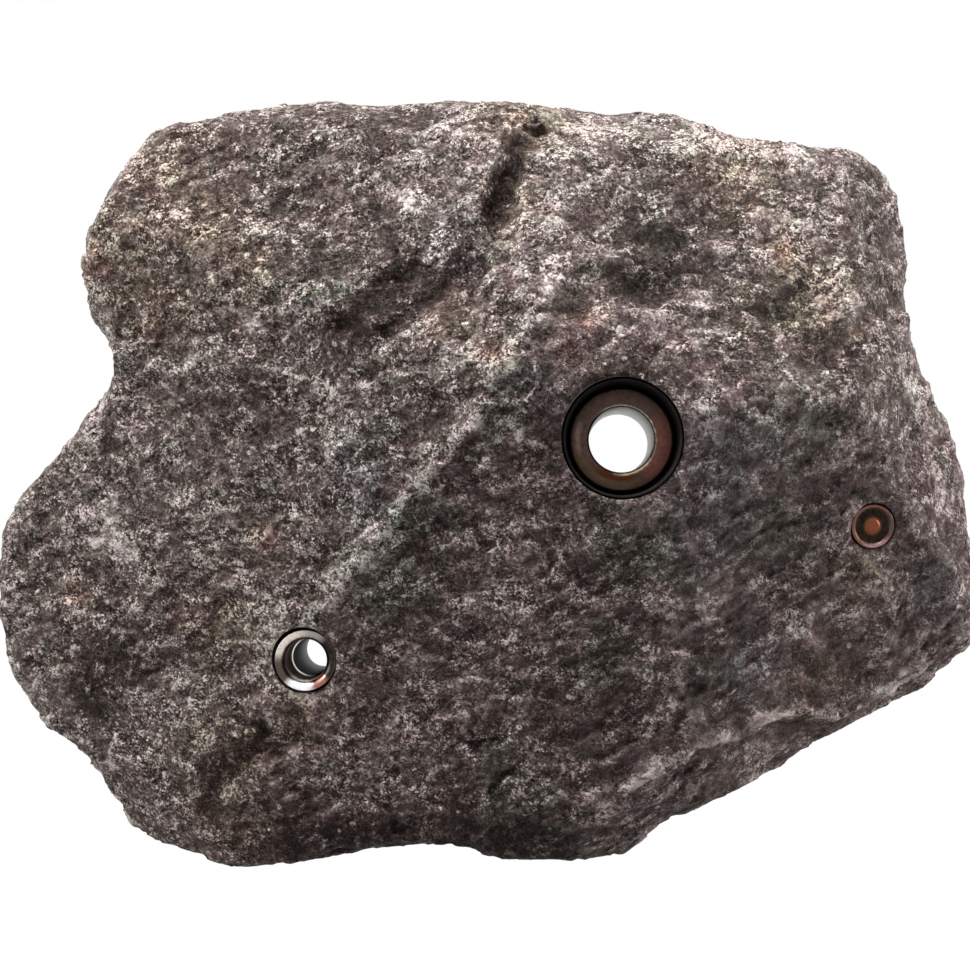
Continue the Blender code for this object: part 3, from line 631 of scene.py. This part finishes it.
def neighbour_mean(values, edges, passes):
    """Values averaged over each vertex's neighbours, again and again."""
    count = len(values)
    degree = np.bincount(edges.ravel(), minlength=count).clip(1)[:, None]
    for _ in range(passes):
        total = np.column_stack([
            np.bincount(edges[:, 0], values[edges[:, 1], axis], count)
            + np.bincount(edges[:, 1], values[edges[:, 0], axis], count)
            for axis in range(values.shape[1])
        ])
        values = total / degree
    return values


def store(mesh, name, values):
    layer = mesh.attributes.new(name, "FLOAT", "POINT")
    layer.data.foreach_set("value", values.astype(np.float32))


def band_tone(points):
    """Tone of the bands that BANDS lists."""
    wobble = wandering(points, BAND_BEND, 3, (2.2, 8.1, 6.4))
    tone = np.zeros(len(points))
    for stops, width, line in BANDS:
        far = line_distance(points + wobble * min(BAND_PUSH, width), line)
        tone += stops * np.exp(-(far / width) ** 2)
    return tone


def hole_tone(points):
    """Tone of the pale stone just below the ferrule, and painted shade at the edge of the bolt's hole,
    darkest over its upper edge.
    """
    far = wall_distance(points, SCREW_HOLE)
    below = np.clip((SCREW_Z - 2.0 - points[:, 2]) / 2.0, 0.0, 1.0)
    tone = FERRULE_FOOT_TONE * below * np.clip(1.0 - np.abs(far - 0.5) / WORN_WIDTH, 0.0, 1.0)
    # Painted shade at the edge of the bolt's hole, darkest over its upper edge
    far = wall_distance(points, BOLT_HOLE)
    above = np.clip(0.5 + 0.5 * points[:, 2] / BOLT_HOLE.radius, 0.1, 1.0)
    return tone + BOLT_EDGE_PAINTED_SHADE * above * np.clip(1.0 - far / (1.6 * WORN_WIDTH), 0.0, 1.0)


def heart_mask(points):
    """1 in the heart of the stone, fading out at the crest and below the brow."""
    from_crest = (points[:, (0, 2)] - CREST[0]) @ ACROSS_CREST
    from_top = HEART_TOP - HEART_TOP_FALL * (points[:, 0] - HEART_TOP_START) - points[:, 2]
    wander = 2.5 * fractal(points, 9.0, 3, 3.7)
    return np.clip((from_crest + wander) / 5.0, 0.0, 1.0) * np.clip((from_top + wander) / 7.0, 0.0, 1.0)


def stain_mask(points, patches, ragged):
    """1 in the middle of each patch, fading out round it."""
    mask = np.zeros(len(points))
    for x, z, radius in patches:
        far = np.hypot(points[:, 0] - x, points[:, 2] - z) / (radius * ragged)
        mask = np.maximum(mask, np.exp(-far ** 2))
    return mask


def mark_surface(mesh):
    """Stores for the material where the skin is proud, its tone, its heart and its minerals' stains."""
    points, out = points_and_normals(mesh)
    edges = rows(mesh.edges, "vertices", 2, np.int32)
    close = ((points - neighbour_mean(points, edges, 3)) * out).sum(axis=1)
    wide = ((points - neighbour_mean(points, edges, 40)) * out).sum(axis=1)
    proud = np.clip(close / PROUD_CLOSE, -1.0, 1.0) * 0.5 + np.clip(wide / PROUD_WIDE, -1.0, 1.0) * 0.5
    store(mesh, "proud", proud)
    front = np.clip(-out[:, 1] * 3.0, 0.0, 1.0)
    # Painted shade where the skin faces down
    downward = np.clip(-neighbour_mean(out, edges, 16)[:, 2] * 2.2 - 1.1, 0.0, 1.0)
    # The stored tone holds painted light and shade as well as the stone's own tone
    tone = band_tone(points) * front + UNDERSIDE_PAINTED_SHADE * downward + hole_tone(points)
    store(mesh, "tone", np.clip(tone, *TONE_RANGE))
    store(mesh, "heart", heart_mask(points))
    ragged = 1.0 + 0.5 * fractal(points, 7.0, 3, 5.5)
    for name, patches in STAINS.items():
        store(mesh, name, stain_mask(points, patches, ragged) * front)


class Graph:
    """A material's nodes, made one by one."""

    def __init__(self, name):
        self.material = bpy.data.materials.new(name)
        self.material.use_nodes = True
        self.tree = self.material.node_tree
        self.shader = self.tree.nodes["Principled BSDF"]

    def node(self, kind, inputs=(), **settings):
        made = self.tree.nodes.new("ShaderNode" + kind)
        for key, value in settings.items():
            setattr(made, key, value)
        for key, value in dict(inputs).items():
            self.plug(made.inputs[key], value)
        return made

    def plug(self, socket, value):
        if isinstance(value, bpy.types.NodeSocket):
            self.tree.links.new(value, socket)
        else:
            socket.default_value = value

    def places(self):
        """Places on the piece in millimetres."""
        return self.scaled(self.node("TexCoord").outputs["Object"], 1.0 / MM)

    def scaled(self, vector, factor):
        return self.node("VectorMath", {0: vector, "Scale": factor}, operation="SCALE").outputs[0]

    def vector(self, operation, first, second):
        return self.node("VectorMath", {0: first, 1: second}, operation=operation).outputs[0]

    def dot(self, first, second):
        return self.node("VectorMath", {0: first, 1: second}, operation="DOT_PRODUCT").outputs["Value"]

    def length(self, vector):
        return self.node("VectorMath", {0: vector}, operation="LENGTH").outputs["Value"]

    def math(self, operation, first, second=0.0, third=0.0, clamp=False):
        made = self.node("Math", {0: first, 1: second, 2: third}, operation=operation, use_clamp=clamp)
        return made.outputs[0]

    def times(self, first, second):
        return self.math("MULTIPLY", first, second)

    def plus(self, total, value, weight):
        """The total with this much of the value added."""
        return self.math("MULTIPLY_ADD", value, weight, total)

    def noise(self, vector, size, detail=2.0, roughness=0.5, output="Fac"):
        inputs = {"Vector": vector, "Scale": 1.0 / size, "Detail": detail, "Roughness": roughness}
        return self.node("TexNoise", inputs).outputs[output]

    def rings(self, far, scale, detail):
        """Uneven rings, from a distance."""
        inputs = {"W": far, "Scale": scale, "Detail": detail}
        return self.node("TexNoise", inputs, noise_dimensions="1D").outputs["Fac"]

    def cells(self, vector, size):
        """Outputs of a Voronoi texture whose cells are about this wide."""
        return self.node("TexVoronoi", {"Vector": vector, "Scale": 1.0 / size}).outputs

    def parts(self, vector):
        """The three parts of a vector or a colour."""
        return self.node("SeparateXYZ", {0: vector}).outputs

    def attribute(self, name):
        return self.node("Attribute", attribute_name=name).outputs["Fac"]

    def spread(self, value, low, high, to_low=0.0, to_high=1.0, smooth=False):
        """The value from low to high, drawn out to the other range and cut off at its ends."""
        inputs = {"Value": value, "From Min": low, "From Max": high, "To Min": to_low, "To Max": to_high}
        style = "SMOOTHSTEP" if smooth else "LINEAR"
        return self.node("MapRange", inputs, interpolation_type=style).outputs["Result"]

    def ramp(self, value, stops):
        """Colour from a value, between (place, colour) stops."""
        made = self.node("ValToRGB", {"Fac": value})
        ramp = made.color_ramp
        while len(ramp.elements) < len(stops):
            ramp.elements.new(0.5)
        for element, (place, colour) in zip(ramp.elements, stops):
            element.position = place
            element.color = (*colour, 1.0)
        return made.outputs["Color"]

    def mix(self, factor, first, second, blend="MIX"):
        made = self.node("Mix", {0: factor}, data_type="RGBA", blend_type=blend)
        self.plug(made.inputs[6], first)
        self.plug(made.inputs[7], second)
        return made.outputs[2]

    def bump(self, height, depth):
        """Bump of a height in millimetres times depth."""
        inputs = {"Height": height, "Distance": depth * MM, "Strength": 1.0}
        return self.node("Bump", inputs).outputs["Normal"]

    def finish(self, inputs):
        for key, value in inputs.items():
            self.plug(self.shader.inputs[key], value)
        return self.material


def stone_grain(graph):
    """Places on the stone, and the same places drawn out along its crooked layers."""
    where = graph.places()
    wide = graph.noise(where, 16.0, 1.0, output="Color")
    close = graph.noise(where, 2.0, 1.0, output="Color")
    middle = (0.5, 0.5, 0.5)
    bent = graph.vector("ADD", where, graph.scaled(graph.vector("SUBTRACT", wide, middle), 7.0))
    bent = graph.vector("ADD", bent, graph.scaled(graph.vector("SUBTRACT", close, middle), 0.5))
    turn = {"Vector": bent, "Axis": (0.0, 1.0, 0.0), "Angle": math.radians(LAYER_RISE)}
    along = graph.node("VectorRotate", turn, rotation_type="AXIS_ANGLE").outputs[0]
    return where, graph.vector("DIVIDE", along, (1.3, 1.0, 1.0))


def lines(graph, vector, size, level, width):
    """Thin crooked lines where a noise passes a level."""
    far = graph.math("ABSOLUTE", graph.math("SUBTRACT", graph.noise(vector, size, 3.0, 0.6), level))
    return graph.spread(far, 0.0, width, 1.0, 0.0)


def facets(graph, where, cells):
    """Height of the cells' flat faces, each leaning its own way."""
    lean = graph.vector("SUBTRACT", cells["Color"], (0.5, 0.5, 0.5))
    return graph.dot(lean, graph.vector("SUBTRACT", where, cells["Position"]))


def rock():
    """Split stone: mineral grains, clouds, stains and the tones stored on the mesh, which hold painted
    light and shade.
    """
    graph = Graph("grey_brown_gneiss")
    where, drawn = stone_grain(graph)
    fine = graph.cells(where, FINE_GRAIN)
    coarse = graph.cells(drawn, COARSE_GRAIN)
    fine_shade = graph.parts(fine["Color"])
    cloudy = graph.noise(drawn, CLOUD, 2.5, 0.62)
    broad = graph.noise(drawn, BROAD_CLOUD, 3.0, 0.6)
    sugar = graph.noise(where, SUGAR, 4.0, 0.72)
    sparse = graph.noise(where, 5.5, 2.0)
    thread = graph.times(lines(graph, drawn, 1.9, 0.5, 0.03), graph.spread(sparse, 0.46, 0.6))
    crack = graph.times(lines(graph, drawn, 3.1, 0.46, 0.016), graph.spread(sparse, 0.52, 0.40))
    heart = graph.attribute("heart")

    # Shade: the grains first, then clouds, relief, heart and tone
    grain = graph.times(fine_shade[0], 0.46)
    grain = graph.plus(grain, graph.parts(coarse["Color"])[0], 0.24)
    grain = graph.plus(grain, sugar, 0.95)
    grain = graph.plus(grain, thread, 0.3)
    grain = graph.plus(grain, crack, -0.4)
    crisp = graph.spread(graph.noise(where, 4.5, 2.0), 0.36, 0.64, 0.45, 1.25)
    crisp = graph.times(crisp, graph.spread(heart, 0.0, 1.0, 0.80, 0.68))
    shade = graph.times(graph.math("SUBTRACT", grain, GRAIN_MIDDLE), crisp)
    shade = graph.plus(shade, graph.math("SUBTRACT", cloudy, 0.5), 0.58)
    shade = graph.plus(shade, graph.math("SUBTRACT", broad, 0.5), 0.30)
    # Paler where proud, partly bruised crystals and partly painted highlight; darker where sunk, as painted
    # shade
    shade = graph.plus(shade, graph.attribute("proud"), 0.12)
    shade = graph.math("MULTIPLY_ADD", shade, SHADE_CONTRAST, SHADE_MIDDLE)
    # Darker heart, partly painted shade
    shade = graph.plus(shade, heart, HEART_SHADE)
    # The stored tone brings in painted light and shade as well as the stone's own tone
    broken = graph.spread(graph.noise(where, 1.5, 3.0, 0.6), 0.34, 0.66, 0.35 * STOP, 1.75 * STOP)
    shade = graph.plus(shade, graph.attribute("tone"), broken)

    # Hue: olive and mauve patches, pale crystals and the stains
    colour = graph.ramp(shade, MINERAL_SHADES)
    drift = graph.spread(graph.noise(where, 5.0, 4.0, 0.6), 0.38, 0.62, -0.1, 0.75)
    drift = graph.math("MULTIPLY_ADD", heart, 0.35, drift, clamp=True)
    mauve = graph.mix(1.0, colour, (1.07, 0.97, 0.99, 1.0), "MULTIPLY")
    olive = graph.mix(1.0, colour, (0.97, 1.03, 0.95, 1.0), "MULTIPLY")
    colour = graph.mix(drift, olive, mauve)
    speck = graph.cells(where, CRYSTAL_SPACING)
    chosen = graph.math("GREATER_THAN", graph.parts(speck["Color"])[1], 0.62)
    chosen = graph.times(chosen, graph.spread(speck["Distance"], 0.10, 0.17, 1.0, 0.0))
    colour = graph.mix(graph.times(chosen, fine_shade[1]), colour, CRYSTAL_COLOUR)
    dapple = graph.spread(graph.noise(where, 1.9, 3.0, 0.6), 0.30, 0.54)
    for name, hue in STAIN_HUES.items():
        stain = graph.times(graph.attribute(name), dapple)
        colour = graph.mix(stain, colour, graph.mix(1.0, colour, (*hue, 1.0), "MULTIPLY"))

    # Relief too fine for the mesh
    height = graph.times(facets(graph, where, fine), 1.1)
    height = graph.plus(height, facets(graph, drawn, coarse), 0.9)
    height = graph.plus(height, cloudy, 0.8)
    height = graph.plus(height, sugar, 0.6)
    height = graph.plus(height, crack, -0.25)
    return graph.finish({
        "Base Color": colour, "Roughness": graph.spread(fine_shade[2], 0.0, 1.0, 0.42, 0.95),
        "Normal": graph.bump(height, 1.0), "Specular IOR Level": 0.15,
    })


def sawn_rock():
    """The same stone where it was sawn and drilled: smooth, with faint arcs of the blade."""
    graph = Graph("sawn_gneiss")
    where, drawn = stone_grain(graph)
    cloudy = graph.noise(drawn, CLOUD, 6.0, 0.72)
    shade = graph.times(graph.parts(graph.cells(drawn, 0.55)["Color"])[0], 0.24)
    shade = graph.plus(shade, cloudy, 0.9)
    shade = graph.math("SUBTRACT", shade, 0.02)
    from_saw = graph.vector("SUBTRACT", where, (-60.0, 0.0, -420.0))
    arcs = graph.rings(graph.length(from_saw), 0.7, 4.0)
    height = graph.plus(graph.times(arcs, 0.16), cloudy, 0.10)
    return graph.finish({
        "Base Color": graph.ramp(shade, MINERAL_SHADES), "Roughness": 0.7,
        "Normal": graph.bump(height, 1.0), "Specular IOR Level": 0.35,
    })


def stone_body():
    mesh = weathered(fine_skin(whole_stone()))
    for finish in (rock(), sawn_rock()):
        mesh.materials.append(finish)
    mesh = drilled(sawn_flat(mesh))
    mark_surface(mesh)
    mesh.shade_smooth()
    mesh.set_sharp_from_angle(angle=math.radians(SHARP_ANGLE))
    # The sawn back is flat, so its shading is too
    for face in mesh.polygons:
        if face.normal.y > 0.99:
            face.use_smooth = False
    stone = link_object("split_stone", mesh)
    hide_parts("stone_body")
    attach(stone, "root")


def rounded(profile, radius, solid=False):
    """The profile with every corner drawn into a short arc."""
    made = []
    last = len(profile) - 1
    for i, corner in enumerate(profile):
        here = Vector(corner)
        if solid and i in (0, last):
            made.append(corner)
            continue
        before, after = Vector(profile[i - 1]), Vector(profile[(i + 1) % len(profile)])
        shorter = min((before - here).length, (after - here).length)
        reach = min(radius, CORNER_SHARE * shorter)
        start = here + (before - here).normalized() * reach
        end = here + (after - here).normalized() * reach
        for step in range(CORNER_STEPS + 1):
            t = step / CORNER_STEPS
            made.append(tuple(start.lerp(here, t).lerp(here.lerp(end, t), t)))
    return made


def turned_piece(name, node, finish, profile, place, radius=0.12, solid=False):
    mesh = turned(name, rounded(profile, radius, solid), solid)
    mesh.materials.append(finish)
    piece = link_object(name, mesh)
    piece.matrix_world = place
    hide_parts(node)
    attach(piece, "root")


def adhesive():
    """Cured adhesive: dark and slightly lumpy."""
    graph = Graph("dark_adhesive")
    where = graph.places()
    lumps = graph.noise(where, 0.9, 4.0, 0.6)
    colour = graph.ramp(lumps, ((0.3, (0.008, 0.006, 0.005)), (0.7, (0.035, 0.027, 0.023))))
    return graph.finish({
        "Base Color": colour, "Roughness": graph.spread(lumps, 0.3, 0.7, 0.75, 0.45),
        "Normal": graph.bump(lumps, 0.3),
    })


def ferrule_profile():
    """Outer wall, plain throat and the bell of the mouth."""
    throat = SCREW_BORE_RADIUS + FERRULE_LEDGE
    mouth = FERRULE_RADIUS - FERRULE_RIM_LAND - FERRULE_BELL_FOOT
    profile = [
        (FERRULE_RADIUS, FERRULE_RIM_HEIGHT), (FERRULE_RADIUS, FERRULE_BOTTOM_HEIGHT),
        (throat, FERRULE_BOTTOM_HEIGHT), (throat, FERRULE_RIM_HEIGHT - FERRULE_FLARE_DEPTH),
    ]
    for step in range(FERRULE_BELL_STEPS + 1):
        turn = math.pi / 2.0 * step / FERRULE_BELL_STEPS
        profile.append((
            FERRULE_BELL_FOOT + mouth * (1.0 - math.cos(turn)),
            FERRULE_RIM_HEIGHT - FERRULE_BELL_DEPTH * (1.0 - math.sin(turn)),
        ))
    return profile


def polar(graph):
    """Places on a turned piece, how far they are from its axis, and which way they lie from it."""
    where = graph.places()
    flat = graph.vector("MULTIPLY", where, (1.0, 1.0, 0.0))
    return where, graph.length(flat), graph.node("VectorMath", {0: flat}, operation="NORMALIZE").outputs[0]


def toward(graph, way, degrees, width):
    """1 on the side that lies this way round the axis (0 right, 90 up), fading to 0 at the width."""
    aim = math.radians(degrees)
    return graph.spread(
        graph.dot(way, (math.cos(aim), math.sin(aim), 0.0)), math.cos(math.radians(width)),
        math.cos(math.radians(width * 0.35)), smooth=True,
    )


# A patch of colour on turned metal, heat tint and grime on some pieces and painted highlights, reflections
# and shade on others: its colour, the way it lies from the axis and its width in degrees, and its inner and
# outer radius. One without a width goes all round.
Patch = namedtuple("Patch", "colour degrees width inner outer")
PATCH_FADE = 0.35


def turned_metal(name, base, patches, roughness, cloud_size=0.8, metallic=1.0, clean=None, grime=None):
    """Turned metal, clouded between the two base colours, with patches.

    Inside the smaller and outside the larger radius of clean, the metal is matt with grime.
    """
    graph = Graph(name)
    where, radius, way = polar(graph)
    clouds = graph.noise(where, cloud_size, 4.0, 0.6)
    colour = graph.ramp(clouds, ((0.36, base[0]), (0.64, base[1])))
    gloss = graph.spread(clouds, 0.3, 0.7, *roughness)
    if clean:
        shine = graph.spread(radius, clean[0] - 0.05, clean[0] + 0.1)
        shine = graph.times(graph.spread(radius, clean[1] + 0.03, clean[1] - 0.03), shine)
        colour = graph.mix(shine, (*grime, 1.0), colour)
        gloss = graph.spread(shine, 0.0, 1.0, 0.8, gloss)
        metallic = graph.times(shine, metallic)
    uneven = graph.plus(graph.math("SUBTRACT", radius, 0.3), clouds, 0.6)
    for patch in patches:
        mask = toward(graph, way, patch.degrees, patch.width) if patch.width else 1.0
        for edge, fade in ((patch.inner, PATCH_FADE), (patch.outer, -PATCH_FADE)):
            mask = graph.times(graph.spread(uneven, edge - fade, edge + fade, smooth=True), mask)
        colour = graph.mix(mask, colour, (*patch.colour, 1.0))
    wear = graph.spread(graph.noise(where, 0.45, 3.0, 0.6), 0.3, 0.7, 0.72, 1.22)
    wear = graph.ramp(wear, ((0.0, (0.0, 0.0, 0.0)), (1.0, (1.0, 1.0, 1.0))))
    marks = graph.rings(graph.math("ADD", radius, graph.parts(where)[2]), 4.0, 3.0)
    height = graph.plus(marks, graph.noise(where, 0.25, 2.0), 0.2)
    return graph.finish({
        "Base Color": graph.mix(1.0, colour, wear, "MULTIPLY"), "Roughness": gloss, "Metallic": metallic,
        "Normal": graph.bump(height, 0.012), "Specular IOR Level": 0.15,
    })


def ferrule_steel():
    """Bright at the upper left and at its foot and dark on the right, as painted reflections and a painted
    highlight at its foot, with a copper tint between.
    """
    return turned_metal("bright_steel", ((0.016, 0.012, 0.011), (0.040, 0.032, 0.030)), (
        # Painted reflections round the bell and a painted highlight at the foot; the patches at -62 and -50
        # degrees are copper tint
        Patch((0.15, 0.125, 0.105), 200.0, 44.0, 4.0, 9.0),
        Patch((0.34, 0.31, 0.28), 84.0, 44.0, 3.9, 9.0),
        Patch((0.72, 0.64, 0.57), 136.0, 56.0, 4.0, 9.0),
        Patch((0.095, 0.072, 0.060), 214.0, 52.0, 3.6, 9.0),
        Patch((0.30, 0.14, 0.125), -62.0, 30.0, 3.8, 9.0),
        Patch((0.62, 0.36, 0.27), -50.0, 15.0, 3.8, 4.4),
        Patch((0.98, 0.96, 0.95), -103.0, 36.0, 3.7, 9.0),
    ), (0.24, 0.38), clean=(3.62, 5.12), grime=(0.34, 0.28, 0.24))


def lipped_steel():
    """Dull tube, paler towards its far end as painted light from that open end. Its front face has a
    painted highlight on the left.
    """
    graph = Graph("dull_steel")
    where, _, way = polar(graph)
    clouds = graph.noise(where, 1.2, 4.0, 0.6)
    colour = graph.ramp(clouds, ((0.35, (0.014, 0.014, 0.014)), (0.65, (0.045, 0.045, 0.046))))
    top = FERRULE_BOTTOM_HEIGHT - GAP
    height = graph.parts(where)[2]
    face = graph.spread(height, top - 0.3, top - 0.15)
    # Painted highlight on the left of the front face
    lip = graph.times(face, toward(graph, way, 190.0, 110.0))
    # Painted light, paler towards the open far end
    far_end = graph.spread(height, 17.0, 1.0, 0.0, 0.42, smooth=True)
    colour = graph.mix(far_end, colour, (0.70, 0.74, 0.73, 1.0))
    colour = graph.mix(lip, colour, (0.80, 0.76, 0.72, 1.0))
    return graph.finish({
        "Base Color": colour, "Roughness": graph.spread(lip, 0.0, 1.0, 0.6, 0.2),
        "Metallic": graph.math("ADD", lip, far_end, clamp=True),
        "Normal": graph.bump(clouds, 0.02), "Specular IOR Level": 0.1,
    })


def seat_steel():
    """Browned ring, redder to the right and below the bore, with painted shade that blackens its edge and
    painted highlights round the bore.
    """
    return turned_metal("browned_steel", ((0.060, 0.038, 0.031), (0.105, 0.066, 0.055)), (
        Patch((0.110, 0.070, 0.046), -118.0, 60.0, 6.8, 9.1),
        Patch((0.150, 0.062, 0.052), -12.0, 60.0, 5.4, 9.0),
        Patch((0.080, 0.024, 0.010), -98.0, 44.0, 5.9, 7.0),
        # Painted highlights on the bore's edge
        Patch((0.90, 0.76, 0.52), -66.0, 44.0, 4.0, 5.9),
        Patch((0.80, 0.74, 0.68), 50.0, 100.0, 4.0, 5.75),
        Patch((0.19, 0.13, 0.11), 178.0, 26.0, 7.0, 7.9),
        # Painted shade that blackens the ring's edge deep in the cup
        Patch((0.012, 0.010, 0.010), 0.0, None, 8.85, 20.0),
    ), (0.34, 0.5))


def disc_copper():
    """Copper gone nearly black in its sunk field, dusky on its rim and brown on its boss."""
    return turned_metal("antique_copper", ((0.010, 0.008, 0.006), (0.026, 0.018, 0.013)), (
        Patch((0.17, 0.080, 0.058), 0.0, None, 3.15, 9.0),
        Patch((0.34, 0.21, 0.21), -78.0, 48.0, 3.15, 9.0),
        Patch((0.10, 0.075, 0.060), 15.0, 50.0, 3.15, 9.0),
        Patch((0.18, 0.056, 0.030), 0.0, None, -1.0, 1.45),
    ), (0.36, 0.52), 0.5)


def cup_steel():
    """Blackened steel, nearly matt."""
    base = ((0.007, 0.006, 0.006), (0.016, 0.014, 0.013))
    return turned_metal("black_steel", base, (), (0.7, 0.55), cloud_size=2.5, metallic=0.0)


def bore_steel():
    """Plain steel, dulled by wear."""
    base = ((0.30, 0.275, 0.26), (0.48, 0.45, 0.43))
    return turned_metal("bore_steel", base, (), (0.32, 0.45), cloud_size=2.5, metallic=0.6)


def inserts():
    """Makes the nine turned pieces, from the bolt's cup to the adhesive under the disc."""
    cured = adhesive()
    bolt, screw, marker = bolt_frame(), bolt_frame(SCREW_X, SCREW_Z), marker_frame()
    low_inner = CUP_INNER_RADIUS - CUP_DRAFT
    opening = SLEEVE_RADIUS + GAP
    turned_piece("cup_liner", "bolt_cup", cup_steel(), (
        (CUP_OUTER_RADIUS, CUP_RIM_HEIGHT), (CUP_OUTER_RADIUS, CUP_BOTTOM), (opening, CUP_BOTTOM),
        (opening, CUP_FLOOR_TOP), (low_inner, CUP_FLOOR_TOP), (CUP_INNER_RADIUS, CUP_RIM_HEIGHT),
    ), bolt, 0.06)
    turned_piece("bolt_seat_ring", "seat_washer", seat_steel(), (
        (WASHER_RADIUS - WASHER_EDGE_CHAMFER, SEAT_HEIGHT),
        (WASHER_RADIUS, SEAT_HEIGHT - WASHER_EDGE_CHAMFER),
        (WASHER_RADIUS, SEAT_HEIGHT - WASHER_THICKNESS), (BOLT_BORE_RADIUS, SEAT_HEIGHT - WASHER_THICKNESS),
        (BOLT_BORE_RADIUS, SEAT_HEIGHT - BOLT_BORE_EDGE), (BOLT_BORE_RADIUS + BOLT_BORE_EDGE, SEAT_HEIGHT),
    ), bolt, 0.35)
    liner = tube(SLEEVE_RADIUS, BOLT_BORE_RADIUS, CUP_FLOOR_TOP, SLEEVE_CLEAR_OF_WALL)
    turned_piece("bore_liner", "bolt_sleeve", bore_steel(), liner, bolt)
    turned_piece("bore_bedding", "bolt_bedding", cured, (
        (CUP_OUTER_RADIUS, CUP_BOTTOM - GAP), (CUP_OUTER_RADIUS, COUNTERBORE_FLOOR + GAP),
        (opening + BEDDING, COUNTERBORE_FLOOR + GAP), (opening + BEDDING, BEDDING_CLEAR_OF_WALL),
        (opening, BEDDING_CLEAR_OF_WALL), (opening, CUP_BOTTOM - GAP),
    ), bolt)
    turned_piece(
        "screw_cone", "screw_ferrule", ferrule_steel(), ferrule_profile(), screw, 0.08,
    )
    outer, top = SCREW_BORE_RADIUS + SCREW_SLEEVE_WALL, FERRULE_BOTTOM_HEIGHT - GAP
    liner = tube(outer, SCREW_BORE_RADIUS, top, SLEEVE_CLEAR_OF_WALL)
    turned_piece("screw_bore_liner", "screw_sleeve", lipped_steel(), liner, screw)
    bedding = tube(SCREW_HOLE_RADIUS - BEDDING_CLEAR_OF_HOLE, outer + GAP, top, BEDDING_CLEAR_OF_WALL)
    turned_piece("screw_cone_bedding", "screw_bedding", cured, bedding, SCREW_HOLE.place)
    rim = MARKER_RADIUS - MARKER_RIM_WIDTH
    boss_top = (MARKER_BOSS_RADIUS - MARKER_BOSS_SLOPE, -MARKER_BOSS_BELOW_RIM)
    turned_piece("copper_disc", "marker_disc", disc_copper(), (
        (0.0, -MARKER_BOSS_BELOW_RIM), boss_top, (MARKER_BOSS_RADIUS, -MARKER_FIELD_DEPTH),
        (rim - MARKER_RIM_SLOPE, -MARKER_FIELD_DEPTH), (rim, 0.0),
        (MARKER_RADIUS - MARKER_EDGE_CHAMFER, 0.0), (MARKER_RADIUS, -MARKER_EDGE_CHAMFER),
        (MARKER_RADIUS, -MARKER_THICKNESS), (0.0, -MARKER_THICKNESS),
    ), marker, 0.1, solid=True)
    bedding = cylinder(MARKER_RADIUS - GAP, -MARKER_THICKNESS - GAP, MARKER_SEAT + GAP)
    turned_piece(
        "copper_disc_bedding", "marker_bedding", cured, bedding, marker, 0.1, solid=True,
    )


def seen_or_mirrored(tree):
    """1 where a ray comes from the camera, a mirror or glass."""
    path = tree.nodes.new("ShaderNodeLightPath")
    total = path.outputs["Is Camera Ray"]
    for name in ("Is Glossy Ray", "Is Transmission Ray"):
        either = tree.nodes.new("ShaderNodeMath")
        either.operation = "MAXIMUM"
        tree.links.new(total, either.inputs[0])
        tree.links.new(path.outputs[name], either.inputs[1])
        total = either.outputs[0]
    return total


def mixed(tree, factor, first, second, surface):
    """Mixes two shaders into an output's surface."""
    choice = tree.nodes.new("ShaderNodeMixShader")
    for value, socket in zip((factor, first, second), choice.inputs):
        tree.links.new(value, socket)
    tree.links.new(choice.outputs[0], surface)


def sky():
    """Soft even light, with plain white behind the hold."""
    world = bpy.data.worlds.new("studio")
    bpy.context.scene.world = world
    world.use_nodes = True
    tree = world.node_tree
    soft = tree.nodes["Background"]
    soft.inputs["Color"].default_value = WHITE
    soft.inputs["Strength"].default_value = AMBIENT
    white = tree.nodes.new("ShaderNodeBackground")
    white.inputs["Color"].default_value = WHITE
    surface = tree.nodes["World Output"].inputs["Surface"]
    mixed(tree, seen_or_mirrored(tree), soft.outputs[0], white.outputs[0], surface)


def floor():
    """A pale floor well below the hold. It keeps the hold's shadow and is plain white further out."""
    graph = Graph("studio_floor")
    graph.finish({"Base Color": (0.8, 0.8, 0.8, 1.0), "Roughness": 0.9})
    tree = graph.tree
    glow = graph.node("Emission", {"Color": WHITE, "Strength": 1.0})
    place = graph.node("NewGeometry").outputs["Position"]
    away = graph.spread(graph.length(place), *FLOOR_FADE, smooth=True)
    white = graph.times(away, seen_or_mirrored(tree))
    surface = tree.nodes["Material Output"].inputs["Surface"]
    mixed(tree, white, graph.shader.outputs[0], glow.outputs[0], surface)
    mesh = bpy.data.meshes.new("studio_floor")
    plane = bmesh.new()
    bmesh.ops.create_grid(plane, x_segments=1, y_segments=1, size=FLOOR_SIZE / 2.0)
    plane.to_mesh(mesh)
    plane.free()
    mesh.materials.append(graph.material)
    ground = link_object("studio_floor", mesh)
    ground.location = (0.0, 0.0, -FLOOR_DROP)


def lamp(name, place, size, power):
    """A soft square lamp in metres and watts, turned to the hold."""
    light = bpy.data.lights.new(name, "AREA")
    light.size = size
    light.energy = power
    thing = link_object(name, light)
    thing.location = place
    thing.rotation_euler = (-Vector(place)).to_track_quat("-Z", "Y").to_euler()


def camera():
    lens = bpy.data.cameras.new("camera")
    lens.lens = CAMERA_LENS
    lens.sensor_width = SENSOR
    lens.clip_start = 0.01
    viewer = link_object("camera", lens)
    viewer.location = Vector(CAMERA_PLACE) * MM
    viewer.rotation_euler = (math.radians(90.0 + CAMERA_RISE), 0.0, math.radians(CAMERA_TURN))
    bpy.context.scene.camera = viewer


def studio():
    bpy.context.scene.view_settings.view_transform = "Standard"
    sky()
    floor()
    for row in LAMPS:
        lamp(*row)
    camera()


def main():
    studio()
    inserts()
    stone_body()


main()
